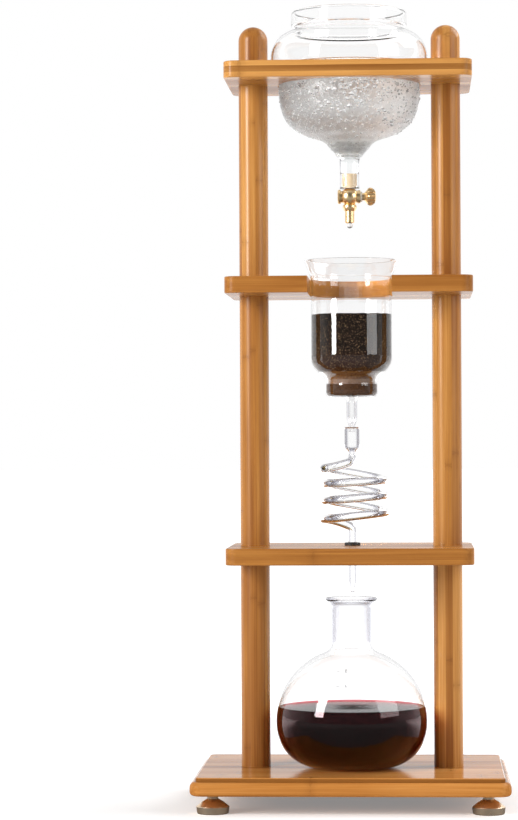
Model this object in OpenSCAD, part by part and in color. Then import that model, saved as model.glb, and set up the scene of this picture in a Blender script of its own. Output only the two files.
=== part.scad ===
// Cold drip coffee tower: a bamboo frame with three shelves that carries a
// water jar with a drip tap, a brewing beaker, a glass cooling coil and a flask.
// Millimetres, +Z up. The origin is on the floor, under the middle of the base.
// +X is the right side and -Y is the front, where the beaker's notch opens.

/* [Frame] */
// Diameter of the round posts
post_d = 30; // [26:0.5:34]
// Room between the jar's shoulder and each post
jar_post_room = 3.2; // [2:0.1:8]
// Length of a post piece between the base and the coil's shelf
post_lower_l = 209.5; // [200:0.5:240]
// Length of a post piece between the coil's shelf and the beaker's shelf
post_middle_l = 256.7; // [250:0.1:290]
// Length of a post piece between the beaker's shelf and the jar's shelf
post_upper_l = 199.7; // [190:0.1:240]
// Length of a finial above the jar's shelf, with its dome
finial_l = 44.5; // [35:0.5:60]

/* [Shelves] */
// Wood beyond a post at each end of a shelf
shelf_end = 11; // [8:0.5:20]
// Wood in front of and behind the jar's hole
shelf_rim = 10.5; // [8:0.5:20]
// Thickness of a shelf
shelf_t = 17; // [14:0.5:22]
// Radius of a shelf's corners, seen from above
shelf_corner_r = 12; // [6:1:18]
// Radius of the eased edges of the wood
wood_ease = 1.2; // [0.6:0.1:2]
// Clearance round the jar in its hole
jar_clearance = 0.9; // [0.6:0.1:1.5]
// Clearance round the beaker in its notch
beaker_clearance = 1; // [0.8:0.1:1.4]

/* [Base] */
// Width of the base over its rounded moulding
base_w = 320; // [310:1:350]
// Depth of the base over its rounded moulding
base_d = 231; // [215:1:260]
// Thickness of the base
base_t = 18.3; // [16:0.1:24]
// Radius of the base's corners, seen from above
base_corner_r = 14; // [12:1:24]
// Width of the quarter-round moulding along the base's upper edge
moulding_r = 5.9; // [4:0.1:8]
// Height of the straight step above the moulding
moulding_step = 4.1; // [3:0.1:6]
// Radius of the base's lower edge
base_lower_r = 4; // [2:0.5:6]

/* [Feet] */
// Height of the feet under the base
foot_h = 19; // [17:0.5:24]
// Diameter of a foot's rim
foot_d = 33.4; // [28:0.2:38]
// Distance from the base's ends in to the feet
foot_in_x = 22.5; // [20:0.5:28]
// Distance from the base's front and back in to the feet
foot_in_y = 24.5; // [20:0.5:30]
// Height of a foot's straight rim
foot_rim_h = 7; // [6:0.2:10]

/* [Fasteners] */
// Thread diameter of the studs, bolts and feet
thread_d = 8; // [6:1:8]
// Depth to which a stud or bolt reaches into a post
stud_bite = 15; // [12:1:20]
// Outer diameter of a threaded insert
insert_d = 12; // [11:0.5:14]
// Length of a threaded insert
insert_l = 16; // [12:1:20]
// Width across the corners of a bolt's hexagon head
bolt_head_d = 15; // [13:0.5:16]
// Height of a bolt's head
bolt_head_h = 5.3; // [4:0.1:5.5]
// Outer diameter of a bolt's washer
washer_d = 18; // [16:1:22]
// Thickness of a bolt's washer
washer_t = 1.6; // [1:0.1:2]

/* [Water jar] */
// Diameter of the jar's shoulder
jar_d = 161.6; // [155:0.2:166]
// Width of the ledge that rests on the shelf
jar_ledge = 8.2; // [6:0.1:12]
// How far the shoulder goes in to the neck under the collar
jar_shoulder_in = 28.8; // [24:0.2:34]
// How far the rounded collar stands out from the neck
jar_collar_out = 7.4; // [5:0.1:9]
// Height of the rounded collar
jar_collar_h = 17; // [12:0.5:22]
// Height of the jar's rim above its shelf
jar_rise = 59; // [54:0.5:66]
// Depth of the bulb below the top of its shelf
jar_bulb_depth = 71.5; // [66:0.5:80]
// Outer diameter of the spout
spout_d = 20; // [18:0.5:22]
// Depth of the spout's end below the top of the jar's shelf
spout_depth = 123.3; // [116:0.1:130]
// Wall of the jar
jar_wall = 2.2; // [1.8:0.1:3]
// Depth of the water's surface below the top of the jar's shelf
water_depth = 9; // [4:1:40]
// Length of the stopper in the spout
stopper_l = 15; // [10:0.5:20]

/* [Drip tap] */
// Diameter of the tap's round body
tap_body_d = 18.8; // [17:0.2:21]
// Length of the tap's body between its end plates
tap_body_l = 18.2; // [16:0.2:20]
// Diameter of the screwed cap on the left
tap_cap_d = 14.8; // [13:0.2:17]
// Thickness of the screwed cap
tap_cap_l = 3; // [2.6:0.1:4]
// Diameter of the plate on the right
tap_plate_d = 13.6; // [12:0.2:16]
// Thickness of the plate on the right
tap_plate_l = 2; // [1.5:0.1:3]
// Diameter of the plug that turns in the body
plug_d = 7.9; // [6.5:0.1:8.5]
// Diameter of the way for the water through the tap
drip_bore_d = 2.6; // [2:0.1:3]
// Angle of the plug's cross hole from fully open, as the tap stands
drip_angle = 60; // [0:5:90]
// Diameter of the knob over its lobes
knob_d = 18.6; // [16:0.2:22]
// Length of the knob
knob_l = 11.6; // [10:0.2:14]
// Number of finger grooves round the knob
knob_grooves = 12; // [8:1:16]
// Diameter of the nozzle's collar
nozzle_collar_d = 14.4; // [13:0.2:16]
// Height of the nozzle's collar
nozzle_collar_h = 6.4; // [5:0.2:8]
// Diameter of the nozzle's tip
nozzle_d = 9.5; // [8:0.1:11]
// Length of the nozzle's tip
nozzle_l = 12.4; // [9:0.2:16]

/* [Brewing beaker] */
// Distance that the beaker and the coil stand to the right of the middle
drip_x = 1.2; // [-3:0.1:3]
// Outer diameter of the beaker's body
beaker_d = 82.8; // [76:0.2:84]
// Diameter of the flared rim
beaker_rim_d = 97; // [93:0.2:102]
// Height of the rim above its shelf
beaker_rise = 19.6; // [18:0.2:26]
// Diameter of the narrow base that holds the filter
filter_seat_d = 52.6; // [46:0.2:58]
// Depth of the beaker's shoulder below the top of its shelf
beaker_shoulder_depth = 80; // [74:1:86]
// Depth of the beaker's floor below the top of its shelf
beaker_depth = 120.7; // [116:0.1:128]
// Outer diameter of the beaker's stem
stem_d = 10.9; // [9:0.1:12]
// Outer diameter of the stem's narrow end
stem_tip_d = 6.8; // [5:0.1:7]
// Length of the stem
stem_l = 36.2; // [30:0.2:44]
// Wall of the beaker, the coil's cup and the flask
glass_wall = 1.8; // [1.4:0.1:2.2]
// Depth of the coffee bed's top below the top of the beaker's shelf
bed_depth = 35.5; // [24:0.5:50]
// Thickness of the ceramic filter disc
filter_t = 5; // [3:0.5:6]
// Distance from the beaker's floor up to the filter
filter_rise = 13; // [11:0.5:14]

/* [Cooling coil] */
// Outer diameter of the coil's tube
coil_tube_d = 9; // [8:0.1:9.4]
// Wall of the coil's tube
coil_wall = 1.3; // [1:0.1:1.6]
// Radius of the coil's turns at the tube's middle
coil_r = 33; // [28:0.5:38]
// Distance that the coil's turns stand to the right of its stem
coil_shift = 3; // [0:0.5:5]
// Number of turns
coil_turns = 3; // [2:1:3]
// Drop of a turn round the back, from left to right
coil_back_drop = 11.9; // [10.8:0.1:12.5]
// Drop of the first turn round the front, from right to left
coil_front_drop = 3.6; // [3:0.1:5]
// Extra drop of each later turn round the front
coil_front_more = 1.8; // [0:0.1:2.2]
// Radius of the bends between the upright stems and the turns
coil_bend_r = 5.5; // [5:0.1:6]
// Outer diameter of the cup over the coil
cup_d = 18; // [17:0.2:20]
// Length of the cup's straight part
cup_l = 19; // [16:0.5:21]
// Outer diameter of the neck under the cup
cup_neck_d = 6.7; // [6:0.1:8]
// Length of the stem's tip inside the cup
cup_lap = 3.6; // [2.5:0.1:4]
// Diameter of the rubber grommet's flange
grommet_d = 16.2; // [15:0.2:20]
// Height of the grommet's flange
grommet_h = 3.2; // [2:0.2:4]

/* [Flask] */
// Diameter of the flask's body
flask_d = 155; // [145:0.5:158]
// Height of the flask
flask_h = 173.6; // [168:0.2:178]
// Height of the flask's widest place
flask_waist_h = 47.6; // [44:0.2:52]
// Outer diameter of the neck
flask_neck_d = 41.6; // [36:0.2:46]
// Outer diameter of the lip
flask_lip_d = 52.6; // [50:0.2:60]
// Diameter of the flat that the flask stands on
flask_foot_d = 60; // [50:1:70]
// Distance of the flask's middle in front of the drip tube
flask_forward = 12; // [0:0.5:14]
// Height of the coffee in the flask
coffee_level = 61.4; // [20:0.2:90]
// Gap from the drip tube's tip down to the flask's lip
drip_gap = 5; // [3:0.5:12]

/* [Hidden] */

$fn = 96;
// Gap between pieces that only rest on each other
seat_gap = 0.2;
// Gap round a thread in its insert, and round a piece that is pushed into wood
thread_gap = 0.1;
// Gap round a bolt or stud in the hole that it passes through
hole_gap = 0.5;
// Gap between a liquid or a powder and the glass round it
fill_gap = 0.1;
// Running clearance of the tap's plug
plug_gap = 0.05;
// Points from one given point of a smooth outline to the next
smooth_steps = 5;

// Heights of the frame's levels
base_top = foot_h + base_t;
coil_shelf_z = base_top + post_lower_l;
coil_shelf_top = coil_shelf_z + shelf_t;
beaker_shelf_z = coil_shelf_top + post_middle_l;
beaker_shelf_top = beaker_shelf_z + shelf_t;
jar_shelf_z = beaker_shelf_top + post_upper_l;
jar_shelf_top = jar_shelf_z + shelf_t;
shelf_levels = [coil_shelf_z, beaker_shelf_z, jar_shelf_z];
// Places and sizes that follow from the jar, which hangs between the posts
jar_bulb_d = jar_d - 2 * jar_ledge;
jar_neck_d = jar_d - 2 * jar_shoulder_in;
jar_collar_d = jar_neck_d + 2 * jar_collar_out;
jar_hole_d = jar_bulb_d + 2 * jar_clearance;
post_x = (jar_d + post_d) / 2 + jar_post_room;
shelf_w = 2 * post_x + post_d + 2 * shelf_end;
shelf_d = jar_hole_d + 2 * shelf_rim;
foot_x = base_w / 2 - foot_in_x;
foot_y = base_d / 2 - foot_in_y;

// Cuts reach this far past the face that they open
over = 1;
insert_bore_depth = insert_l + 1;
head_recess_d = washer_d + 3;
head_recess_h = washer_t + bolt_head_h + 0.4;
foot_stud_l = 12;
foot_bush_l = foot_stud_l + 1;

// ---- outlines: every profile is [radius, height] from the top down ----

function arc(cx, cy, r, from, to, n) =
  [for (i = [0:n]) [cx + r * cos(from + (to - from) * i / n), cy + r * sin(from + (to - from) * i / n)]];

function blend(a, b, c, d, t) =
  0.5 * (2 * b + (c - a) * t + (2 * a - 5 * b + 4 * c - d) * t * t + (3 * b - a - 3 * c + d) * t * t * t);

// A smooth line through the given points
function smooth(p) = concat(
  [for (i = [0:len(p) - 2]) for (k = [0:smooth_steps - 1])
    blend(p[max(i - 1, 0)], p[i], p[i + 1], p[min(i + 2, len(p) - 1)], k / smooth_steps)],
  [p[len(p) - 1]]);

// The same outline moved inwards by a wall
function inset(p, wall) =
  [for (i = [0:len(p) - 1])
    let (d = p[min(i + 1, len(p) - 1)] - p[max(i - 1, 0)], n = [d[1], -d[0]] / norm(d))
      [max(0, p[i][0] + n[0] * wall), p[i][1] + n[1] * wall]];

function backwards(p) = [for (i = [len(p) - 1:-1:0]) p[i]];

// Radius of an outline at a height
function radius_at(p, z) = lookup(z, [for (q = p) [q[1], q[0]]]);

// Outline of what fills a vessel between two heights
function filling(p, low, high) = concat(
  [[0, high], [radius_at(p, high), high]],
  [for (q = p) if (q[1] < high && q[1] > low) q],
  [[radius_at(p, low), low], [0, low]]);

module turned(p) rotate_extrude() polygon(p);

module vessel(p, wall) turned(concat(p, backwards(inset(p, wall))));

// A tube of one diameter with its bore along +Z
module pipe(l, d, bore) difference() {
  cylinder(h = l, d = d);
  translate([0, 0, -over]) cylinder(h = l + 2 * over, d = bore);
}

// ---- wood ----

// A plate with rounded corners whose edge has the outline p, measured from
// the middle of a corner's radius out to r
module moulded_plate(w, d, r, t, p) {
  for (q = [[1, 1, 0], [-1, 1, 90], [-1, -1, 180], [1, -1, 270]])
    translate([q[0] * (w / 2 - r), q[1] * (d / 2 - r), 0])
      rotate([0, 0, q[2]]) rotate_extrude(angle = 90) polygon(p);
  for (s = [0, 180]) {
    rotate([0, 0, s]) translate([w / 2 - r, d / 2 - r, 0])
      rotate([90, 0, 0]) linear_extrude(d - 2 * r) polygon(p);
    rotate([0, 0, s + 90]) translate([d / 2 - r, w / 2 - r, 0])
      rotate([90, 0, 0]) linear_extrude(w - 2 * r) polygon(p);
  }
  translate([r - w / 2, r - d / 2, 0]) cube([w - 2 * r, d - 2 * r, t]);
}

function eased_edge(r, t, e) =
  concat([[0, 0]], arc(r - e, e, e, -90, 0, 3), arc(r - e, t - e, e, 0, 90, 3), [[0, t]]);

function base_edge() =
  let (r = base_corner_r, t = base_t, shoulder = base_t - moulding_step, in = r - moulding_r)
    concat([[0, 0]],
      arc(r - base_lower_r, base_lower_r, base_lower_r, -90, 0, 6),
      arc(in, shoulder - moulding_r, moulding_r, 0, 90, 8),
      [[in, t - wood_ease], [in - wood_ease, t], [0, t]]);

module shelf_blank() difference() {
  moulded_plate(shelf_w, shelf_d, shelf_corner_r, shelf_t, eased_edge(shelf_corner_r, shelf_t, wood_ease));
  for (x = [-post_x, post_x])
    translate([x, 0, -over]) cylinder(h = shelf_t + 2 * over, d = thread_d + 2 * hole_gap);
}

module base_board() color("burlywood") translate([0, 0, foot_h]) difference() {
  moulded_plate(base_w, base_d, base_corner_r, base_t, base_edge());
  for (x = [-post_x, post_x]) translate([x, 0, 0]) {
    translate([0, 0, -over]) cylinder(h = base_t + 2 * over, d = thread_d + 2 * hole_gap);
    translate([0, 0, -over]) cylinder(h = head_recess_h + over, d = head_recess_d);
  }
  for (x = [-foot_x, foot_x], y = [-foot_y, foot_y])
    translate([x, y, -over]) cylinder(h = foot_bush_l + over, d = insert_d + 2 * thread_gap);
}

module coil_shelf() color("burlywood") translate([0, 0, coil_shelf_z]) difference() {
  shelf_blank();
  translate([drip_x, 0, -over]) cylinder(h = shelf_t + 2 * over, d = grommet_hole_d);
}

module beaker_shelf() color("burlywood") translate([0, 0, beaker_shelf_z]) difference() {
  shelf_blank();
  translate([drip_x, 0, -over]) {
    cylinder(h = shelf_t + 2 * over, d = notch_d);
    translate([-notch_d / 2, -shelf_d, 0]) cube([notch_d, shelf_d, shelf_t + 2 * over]);
  }
}

module jar_shelf() color("burlywood") translate([0, 0, jar_shelf_z]) difference() {
  shelf_blank();
  translate([0, 0, -over]) cylinder(h = shelf_t + 2 * over, d = jar_hole_d);
}

module insert_bore() translate([0, 0, -over]) cylinder(h = insert_bore_depth + over, d = insert_d + 2 * thread_gap);

// A post piece between two boards, bored for an insert at each end
module post_piece(x, z, l) color("peru") translate([x, 0, z]) difference() {
  cylinder(h = l, d = post_d);
  insert_bore();
  translate([0, 0, l]) mirror([0, 0, 1]) insert_bore();
}

module finial(x) color("peru") translate([x, 0, jar_shelf_top]) difference() {
  let (r = post_d / 2)
    turned(concat([[0, finial_l]], backwards(arc(0, finial_l - r, r, 0, 89, 16)), [[r, 0], [0, 0]]));
  insert_bore();
}

// ---- fasteners ----

module joint_studs() color("silver")
  for (x = [-post_x, post_x], z = shelf_levels)
    translate([x, 0, z - stud_bite]) cylinder(h = shelf_t + 2 * stud_bite, d = thread_d);

module thread_inserts() color("gold")
  for (x = [-post_x, post_x]) {
    for (z = concat([base_top], [for (s = shelf_levels) s + shelf_t]))
      translate([x, 0, z]) pipe(insert_l, insert_d, thread_d + 2 * thread_gap);
    for (z = shelf_levels)
      translate([x, 0, z - insert_l]) pipe(insert_l, insert_d, thread_d + 2 * thread_gap);
  }

module base_bolts() color("silver")
  for (x = [-post_x, post_x]) translate([x, 0, foot_h + head_recess_h - washer_t]) {
    translate([0, 0, -bolt_head_h]) cylinder(h = bolt_head_h, d = bolt_head_d, $fn = 6);
    cylinder(h = washer_t + base_t - head_recess_h + stud_bite, d = thread_d);
  }

module base_washers() color("silver")
  for (x = [-post_x, post_x])
    translate([x, 0, foot_h + head_recess_h - washer_t]) pipe(washer_t, washer_d, thread_d + 2 * thread_gap);

module foot_bushes() color("gold")
  for (x = [-foot_x, foot_x], y = [-foot_y, foot_y])
    translate([x, y, foot_h]) pipe(foot_bush_l, insert_d, thread_d + 2 * thread_gap);

// ---- feet ----

foot_collar_d = thread_d + 5;
foot_collar_h = 1.4;
foot_waist_d = thread_d + 0.8;
foot_waist_h = 1;
foot_ring_d = thread_d + 3;
foot_ring_h = 1.5;
// Rise of the cone's middle above a straight line
foot_swell = 0.5;
foot_bevel = [0.4, 0.6];
// How much narrower the rim is at the bottom, on each side
foot_taper = 0.8;
foot_lower_r = 1.4;

module foot(x, y) color("darkgoldenrod") translate([x, y, 0]) {
  top = foot_h - seat_gap;
  waist_z = top - foot_collar_h;
  ring_z = waist_z - foot_waist_h;
  cone_z = ring_z - foot_ring_h;
  rim = foot_d / 2;
  cone_r = rim - foot_bevel[0];
  rim_z = foot_rim_h + foot_bevel[1];
  turned(concat(
    [[0, top], [foot_collar_d / 2, top], [foot_collar_d / 2, waist_z], [foot_waist_d / 2, waist_z],
     [foot_waist_d / 2, ring_z], [foot_ring_d / 2, ring_z], [foot_ring_d / 2, cone_z],
     [(foot_ring_d / 2 + cone_r) / 2, (cone_z + rim_z) / 2 + foot_swell], [cone_r, rim_z], [rim, foot_rim_h]],
    backwards(arc(rim - foot_taper - foot_lower_r, foot_lower_r, foot_lower_r, -90, 0, 5)),
    [[0, 0]]));
  translate([0, 0, foot_h - seat_gap - over]) cylinder(h = foot_stud_l + seat_gap + over, d = thread_d);
}

// ---- water jar ----

jar_seat_z = jar_shelf_top + seat_gap;
jar_top = jar_seat_z + jar_rise;
spout_end = jar_seat_z - spout_depth;
// Radius of the arc that carries the shoulder over to the neck
jar_shoulder_r = jar_shoulder_in - 1;
jar_collar_r = 3.5;
jar_under_r = 5.5;
// Drop from the collar's underside to the top of the shoulder
jar_neck_drop = 2.4;
funnel_h = 24;

// The jar's outer outline, from its rim down to the end of its spout
function jar_outline() =
  let (neck = jar_neck_d / 2, side = jar_d / 2, bulb = jar_bulb_d / 2, collar = jar_collar_d / 2,
       low = jar_top - jar_collar_h, floor = jar_seat_z - jar_bulb_depth, spout = spout_d / 2,
       bend = jar_shoulder_r)
    concat(
      backwards(arc(collar - jar_collar_r, jar_top - jar_collar_r, jar_collar_r, 0, 80, 5)),
      backwards(arc(collar - jar_collar_r, low + jar_collar_r, jar_collar_r, -80, 0, 5)),
      [[neck + 0.6, low - 1]],
      backwards(arc(side - bend, low - jar_neck_drop - bend, bend, 0, 84, 10)),
      backwards(arc(side - jar_under_r, jar_seat_z + jar_under_r, jar_under_r, -84, 0, 6)),
      [[bulb + 0.4, jar_seat_z]],
      // Radii as shares of the way from the spout out to the bulb, heights as
      // shares of the bulb's depth and of the funnel's
      smooth([for (q = [[1, 0.034], [1, 0.252], [0.989, 0.462], [0.92, 0.685], [0.786, 0.841], [0.585, 0.947], [0.393, 1]])
        [spout + q[0] * (bulb - spout), jar_seat_z - q[1] * jar_bulb_depth],
        for (q = [[0.248, 0.175], [0.15, 0.458], [0.051, 0.758], [0, 1]])
        [spout + q[0] * (bulb - spout), floor - q[1] * funnel_h],
        [spout, spout_end]]));

jar_bore = radius_at(inset(jar_outline(), jar_wall), spout_end + stopper_l / 2);

module water_jar() color("lightcyan", 0.4) vessel(jar_outline(), jar_wall);

module water() color("lightblue", 0.5)
  turned(filling(inset(jar_outline(), jar_wall + fill_gap), stopper_top + fill_gap, jar_seat_z - water_depth));

// ---- stopper and drip tap ----

stopper_top = spout_end + stopper_l;
tap_body_h = 16.4;
tap_z = spout_end - tap_body_h / 2 - seat_gap;
tap_spigot_d = 5.2;
tap_boss_d = 7.4;
tap_boss_l = 5;
nozzle_top = tap_z - tap_body_h / 2;
plug_right = tap_body_l / 2 + tap_plate_l;
washer_l = 1.7;
knob_x = plug_right + washer_l + 2.6;
plug_left = -tap_body_l / 2 - 0.8;
clip_groove_d = plug_d - 2.4;
clip_d = plug_d + 2.2;
clip_t = 0.7;
clip_x = -tap_body_l / 2 - 0.05 - clip_t;
tap_cap_room_d = clip_d + 0.8;
tap_cap_skin = 1;
// Chamfer of the tap's turned edges
tap_chamfer = 0.8;
seal_thickness = 1.6;
seal_places = [-5.4, 5.4];
knob_bore_d = 5;
knob_tang_l = 7;
knob_face_r = 6.4;
// Cutter for the knob's grooves: its radius, how far its middle stands outside
// the knob, and how it leans
groove_r = 1.9;
groove_out = 0.9;
groove_lean = 14;

module along_x() rotate([0, 90, 0]) children();

module jar_stopper() color("wheat") translate([0, 0, spout_end])
  pipe(stopper_l, 2 * (jar_bore - fill_gap), tap_spigot_d + 2 * fill_gap);

module tap_body() color("goldenrod") translate([0, 0, tap_z]) difference() {
  union() {
    intersection() {
      sphere(d = tap_body_d);
      translate([-tap_body_l / 2, -tap_body_d, -tap_body_h / 2]) cube([tap_body_l, 2 * tap_body_d, tap_body_h]);
    }
    translate([-tap_body_l / 2, 0, 0]) along_x() cylinder(h = tap_body_l, d = plug_d + 4);
    translate([tap_body_l / 2 - over, 0, 0]) along_x() cylinder(h = tap_plate_l + over, d = tap_plate_d);
    translate([0, 0, tap_body_h / 2 - over]) cylinder(h = stopper_top - tap_z - tap_body_h / 2 + over, d = tap_spigot_d);
    translate([0, 0, -tap_body_h / 2 - tap_boss_l]) cylinder(h = tap_boss_l + over, d = tap_boss_d);
  }
  translate([-tap_body_l, 0, 0]) along_x() cylinder(h = 3 * tap_body_l, d = plug_d + 2 * plug_gap);
  translate([0, 0, -tap_body_h]) cylinder(h = 3 * tap_body_h, d = drip_bore_d);
}

module tap_cap() color("goldenrod") translate([-tap_body_l / 2 - seat_gap / 2, 0, tap_z]) rotate([0, -90, 0])
  difference() {
    turned([[0, tap_cap_l], [tap_cap_d / 2 - tap_chamfer, tap_cap_l], [tap_cap_d / 2, tap_cap_l - tap_chamfer],
            [tap_cap_d / 2, 0], [0, 0]]);
    translate([0, 0, -over]) cylinder(h = tap_cap_l - tap_cap_skin + over, d = tap_cap_room_d);
  }

module tap_nozzle() color("goldenrod") translate([0, 0, nozzle_top - fill_gap]) difference() {
  let (collar = nozzle_collar_d / 2, tip = nozzle_d / 2, end = -nozzle_collar_h - nozzle_l, c = tap_chamfer)
    turned([
      [0, 0], [collar - c, 0], [collar, -c], [collar, -0.45 * nozzle_collar_h], [collar - c, -0.8 * nozzle_collar_h],
      [tip + c, -nozzle_collar_h], [tip, -nozzle_collar_h], [tip, end + c], [tip - c, end], [0, end]]);
  translate([0, 0, -tap_boss_l - fill_gap]) cylinder(h = tap_boss_l + fill_gap + over, d = tap_boss_d + 2 * thread_gap);
  translate([0, 0, -nozzle_collar_h - nozzle_l - over])
    cylinder(h = nozzle_collar_h + nozzle_l + 2 * over, d = drip_bore_d);
}

module tap_plug() color("darkgoldenrod") translate([0, 0, tap_z]) difference() {
  union() {
    translate([plug_left - 1, 0, 0]) along_x() cylinder(h = knob_x - plug_left + 1, d = plug_d);
    translate([knob_x - 0.5, 0, 0]) along_x() cylinder(h = knob_tang_l + 0.5, d = knob_bore_d - 2 * fill_gap);
  }
  rotate([drip_angle, 0, 0]) cylinder(h = 2 * plug_d, d = drip_bore_d, center = true);
  translate([clip_x - 0.05, 0, 0]) along_x() difference() {
    cylinder(h = clip_t + 0.1, d = plug_d + over);
    translate([0, 0, -over]) cylinder(h = clip_t + 2 * over, d = clip_groove_d);
  }
  for (x = seal_places) translate([x - seal_thickness / 2, 0, 0]) along_x() difference() {
    cylinder(h = seal_thickness, d = plug_d + over);
    translate([0, 0, -over]) cylinder(h = seal_thickness + 2 * over, d = plug_d - 2 * seal_thickness);
  }
}

module plug_clip() color("silver") translate([clip_x, 0, tap_z]) along_x()
  pipe(clip_t, clip_d, clip_groove_d + 2 * fill_gap);

module plug_seals() color("dimgray")
  for (x = seal_places) translate([x, 0, tap_z]) along_x()
    rotate_extrude() translate([(plug_d - seal_thickness) / 2, 0]) circle(d = seal_thickness - 2 * plug_gap, $fn = 32);

module knob_washer() color("ivory") translate([plug_right + fill_gap, 0, tap_z]) along_x()
  pipe(washer_l, plug_d + 2.4, plug_d + 2 * fill_gap);

module tap_knob() color("goldenrod") translate([knob_x, 0, tap_z]) along_x() difference() {
  turned(concat(
    [[0, knob_l]],
    backwards(arc(knob_d / 2 - knob_face_r, knob_l - knob_face_r, knob_face_r, 0, 90, 8)),
    [[knob_d / 2 - 0.7, 0.32 * knob_l], [plug_d / 2 + 0.5, fill_gap], [0, fill_gap]]));
  for (i = [0:knob_grooves - 1]) rotate([0, 0, (i + 0.5) * 360 / knob_grooves])
    translate([knob_d / 2 + groove_out, 0, 0]) rotate([0, -groove_lean, 0])
      cylinder(h = 2 * knob_l, r = groove_r, center = true, $fn = 32);
  translate([0, 0, -over]) cylinder(h = knob_tang_l + over + fill_gap, d = knob_bore_d);
}

// ---- brewing beaker ----

notch_d = beaker_d + 2 * beaker_clearance;
beaker_seat_z = beaker_shelf_top;
beaker_floor = beaker_seat_z - beaker_depth;
stem_tip = beaker_floor - stem_l;
filter_z = beaker_floor + filter_rise;
bed_top = beaker_seat_z - bed_depth;
shoulder_z = beaker_seat_z - beaker_shoulder_depth;
gasket_t = 2.2;

// The beaker's outer outline: a flare that sits on the notch, a straight body,
// a narrow base and a stem
function beaker_outline() =
  let (body = beaker_d / 2, rim = beaker_rim_d / 2, foot = filter_seat_d / 2, notch = notch_d / 2,
       z = beaker_seat_z, s = shoulder_z, top = beaker_seat_z + beaker_rise)
    concat(
      smooth([[rim, top], [rim - 0.4, top - 1.2], [rim - 2.2, top - 5], [notch + 1.4, z + 7.5], [notch + 0.5, z + 2.6],
              [notch - 0.7, z - 0.2], [body, z - 3.5], [body, z - 8]]),
      smooth([[body, s + 4], [body, s], [body - 0.9, s - 6.5], [body - 4.6, s - 12.5], [body - 9.4, s - 17],
              [foot + 1.4, s - 20.5], [foot, s - 25], [foot, s - 29]]),
      backwards(arc(foot - 4.5, beaker_floor + 4.5, 4.5, -84, 0, 6)),
      smooth([[stem_d / 2 + 1.9, beaker_floor], [stem_d / 2 + 0.4, beaker_floor - 3], [stem_d / 2, beaker_floor - 6],
              [stem_d / 2, beaker_floor - 18], [stem_d / 2 - 0.3, stem_tip + 12], [stem_tip_d / 2 + 0.3, stem_tip + 8.6],
              [stem_tip_d / 2, stem_tip + 7], [stem_tip_d / 2, stem_tip]]));

module brew_beaker() color("lightcyan", 0.4) translate([drip_x, 0, 0]) vessel(beaker_outline(), glass_wall);

function in_beaker(gap) = inset(beaker_outline(), glass_wall + gap);

filter_bore_r = radius_at(in_beaker(fill_gap), filter_z + filter_t / 2);

// A silicone ring of L section that holds the disc's edge and its underside
module filter_gasket() color("white") translate([drip_x, 0, filter_z]) difference() {
  cylinder(h = filter_t, r = filter_bore_r);
  translate([0, 0, gasket_t]) cylinder(h = filter_t, r = filter_bore_r - gasket_t);
  translate([0, 0, -over]) cylinder(h = filter_t, r = filter_bore_r - 2 * gasket_t);
}

module filter_disc() color("linen") translate([drip_x, 0, filter_z + gasket_t + fill_gap])
  cylinder(h = filter_t - gasket_t - fill_gap, r = filter_bore_r - gasket_t - fill_gap);

module coffee_grounds() color("saddlebrown") translate([drip_x, 0, 0])
  turned(filling(in_beaker(fill_gap), filter_z + filter_t + fill_gap, bed_top));

// ---- cooling coil: one glass tube from its cup to its drip tip ----

cup_top = stem_tip + cup_lap;
cup_neck_z = cup_top - cup_l - 6.6;
coil_in_z = cup_neck_z - 3;
// Height of the tube where it leaves the stem for the turns
coil_start_z = coil_in_z - coil_bend_r;
coil_run_in_drop = 6.8;
coil_run_out_drop = 8;
// The turns' middle, and the middle and radius of the half turns at both ends
coil_x = drip_x + coil_shift;
coil_left_x = coil_x - coil_r;
end_r = (drip_x - coil_left_x) / 2;
end_x = (drip_x + coil_left_x) / 2;
// Every second piece of the tube is thicker by this on both sides
tube_step = 0.06;
grommet_gap = 0.3;
grommet_wall = 2;
grommet_bore_d = coil_tube_d + 2 * (tube_step + grommet_gap);
grommet_body_d = grommet_bore_d + 2 * grommet_wall;
grommet_hole_d = grommet_body_d + 2 * fill_gap;
flask_top = base_top + seat_gap + flask_h;
drip_tip = flask_top + drip_gap;
drip_tip_d = 4.8;
drip_tip_l = 9;

function left_z(i) = coil_start_z - coil_run_in_drop - i * (coil_back_drop + coil_front_drop)
  - coil_front_more * i * (i - 1) / 2;
function right_z(i) = left_z(i) - coil_back_drop;
coil_end_z = left_z(coil_turns) - coil_run_out_drop;
drip_top = coil_end_z - coil_bend_r;

// The pieces of the tube meet end to end. Every second one is thicker by grow,
// so that neighbours meet in a real step and not in a sliver, and each section
// is turned by seam so that its start lies where its neighbour's does.

module tube_section(grow, seam = 0) rotate(seam) difference() {
  circle(d = coil_tube_d + 2 * grow, $fn = 48);
  circle(d = coil_tube_d - 2 * coil_wall - 2 * grow, $fn = 48);
}

function tilt(r, drop) = atan2(drop, 2 * r);

// Half a turn whose middle is at the origin. It falls by drop towards +X round
// the back, or towards -X round the front.
module back_turn(r, drop, grow) rotate([0, tilt(r, drop), 0])
  rotate_extrude(angle = 180) translate([r / cos(tilt(r, drop)), 0]) tube_section(grow);

module front_turn(r, drop, grow) rotate([0, -tilt(r, drop), 0]) rotate([0, 0, 180])
  rotate_extrude(angle = 180) translate([r / cos(tilt(r, drop)), 0]) tube_section(grow);

module bend(grow, seam) rotate_extrude(angle = 90) translate([coil_bend_r, 0]) tube_section(grow, seam);

module straight_back(l, grow, seam) rotate([-90, 0, 0]) linear_extrude(l) tube_section(grow, seam);

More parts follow.
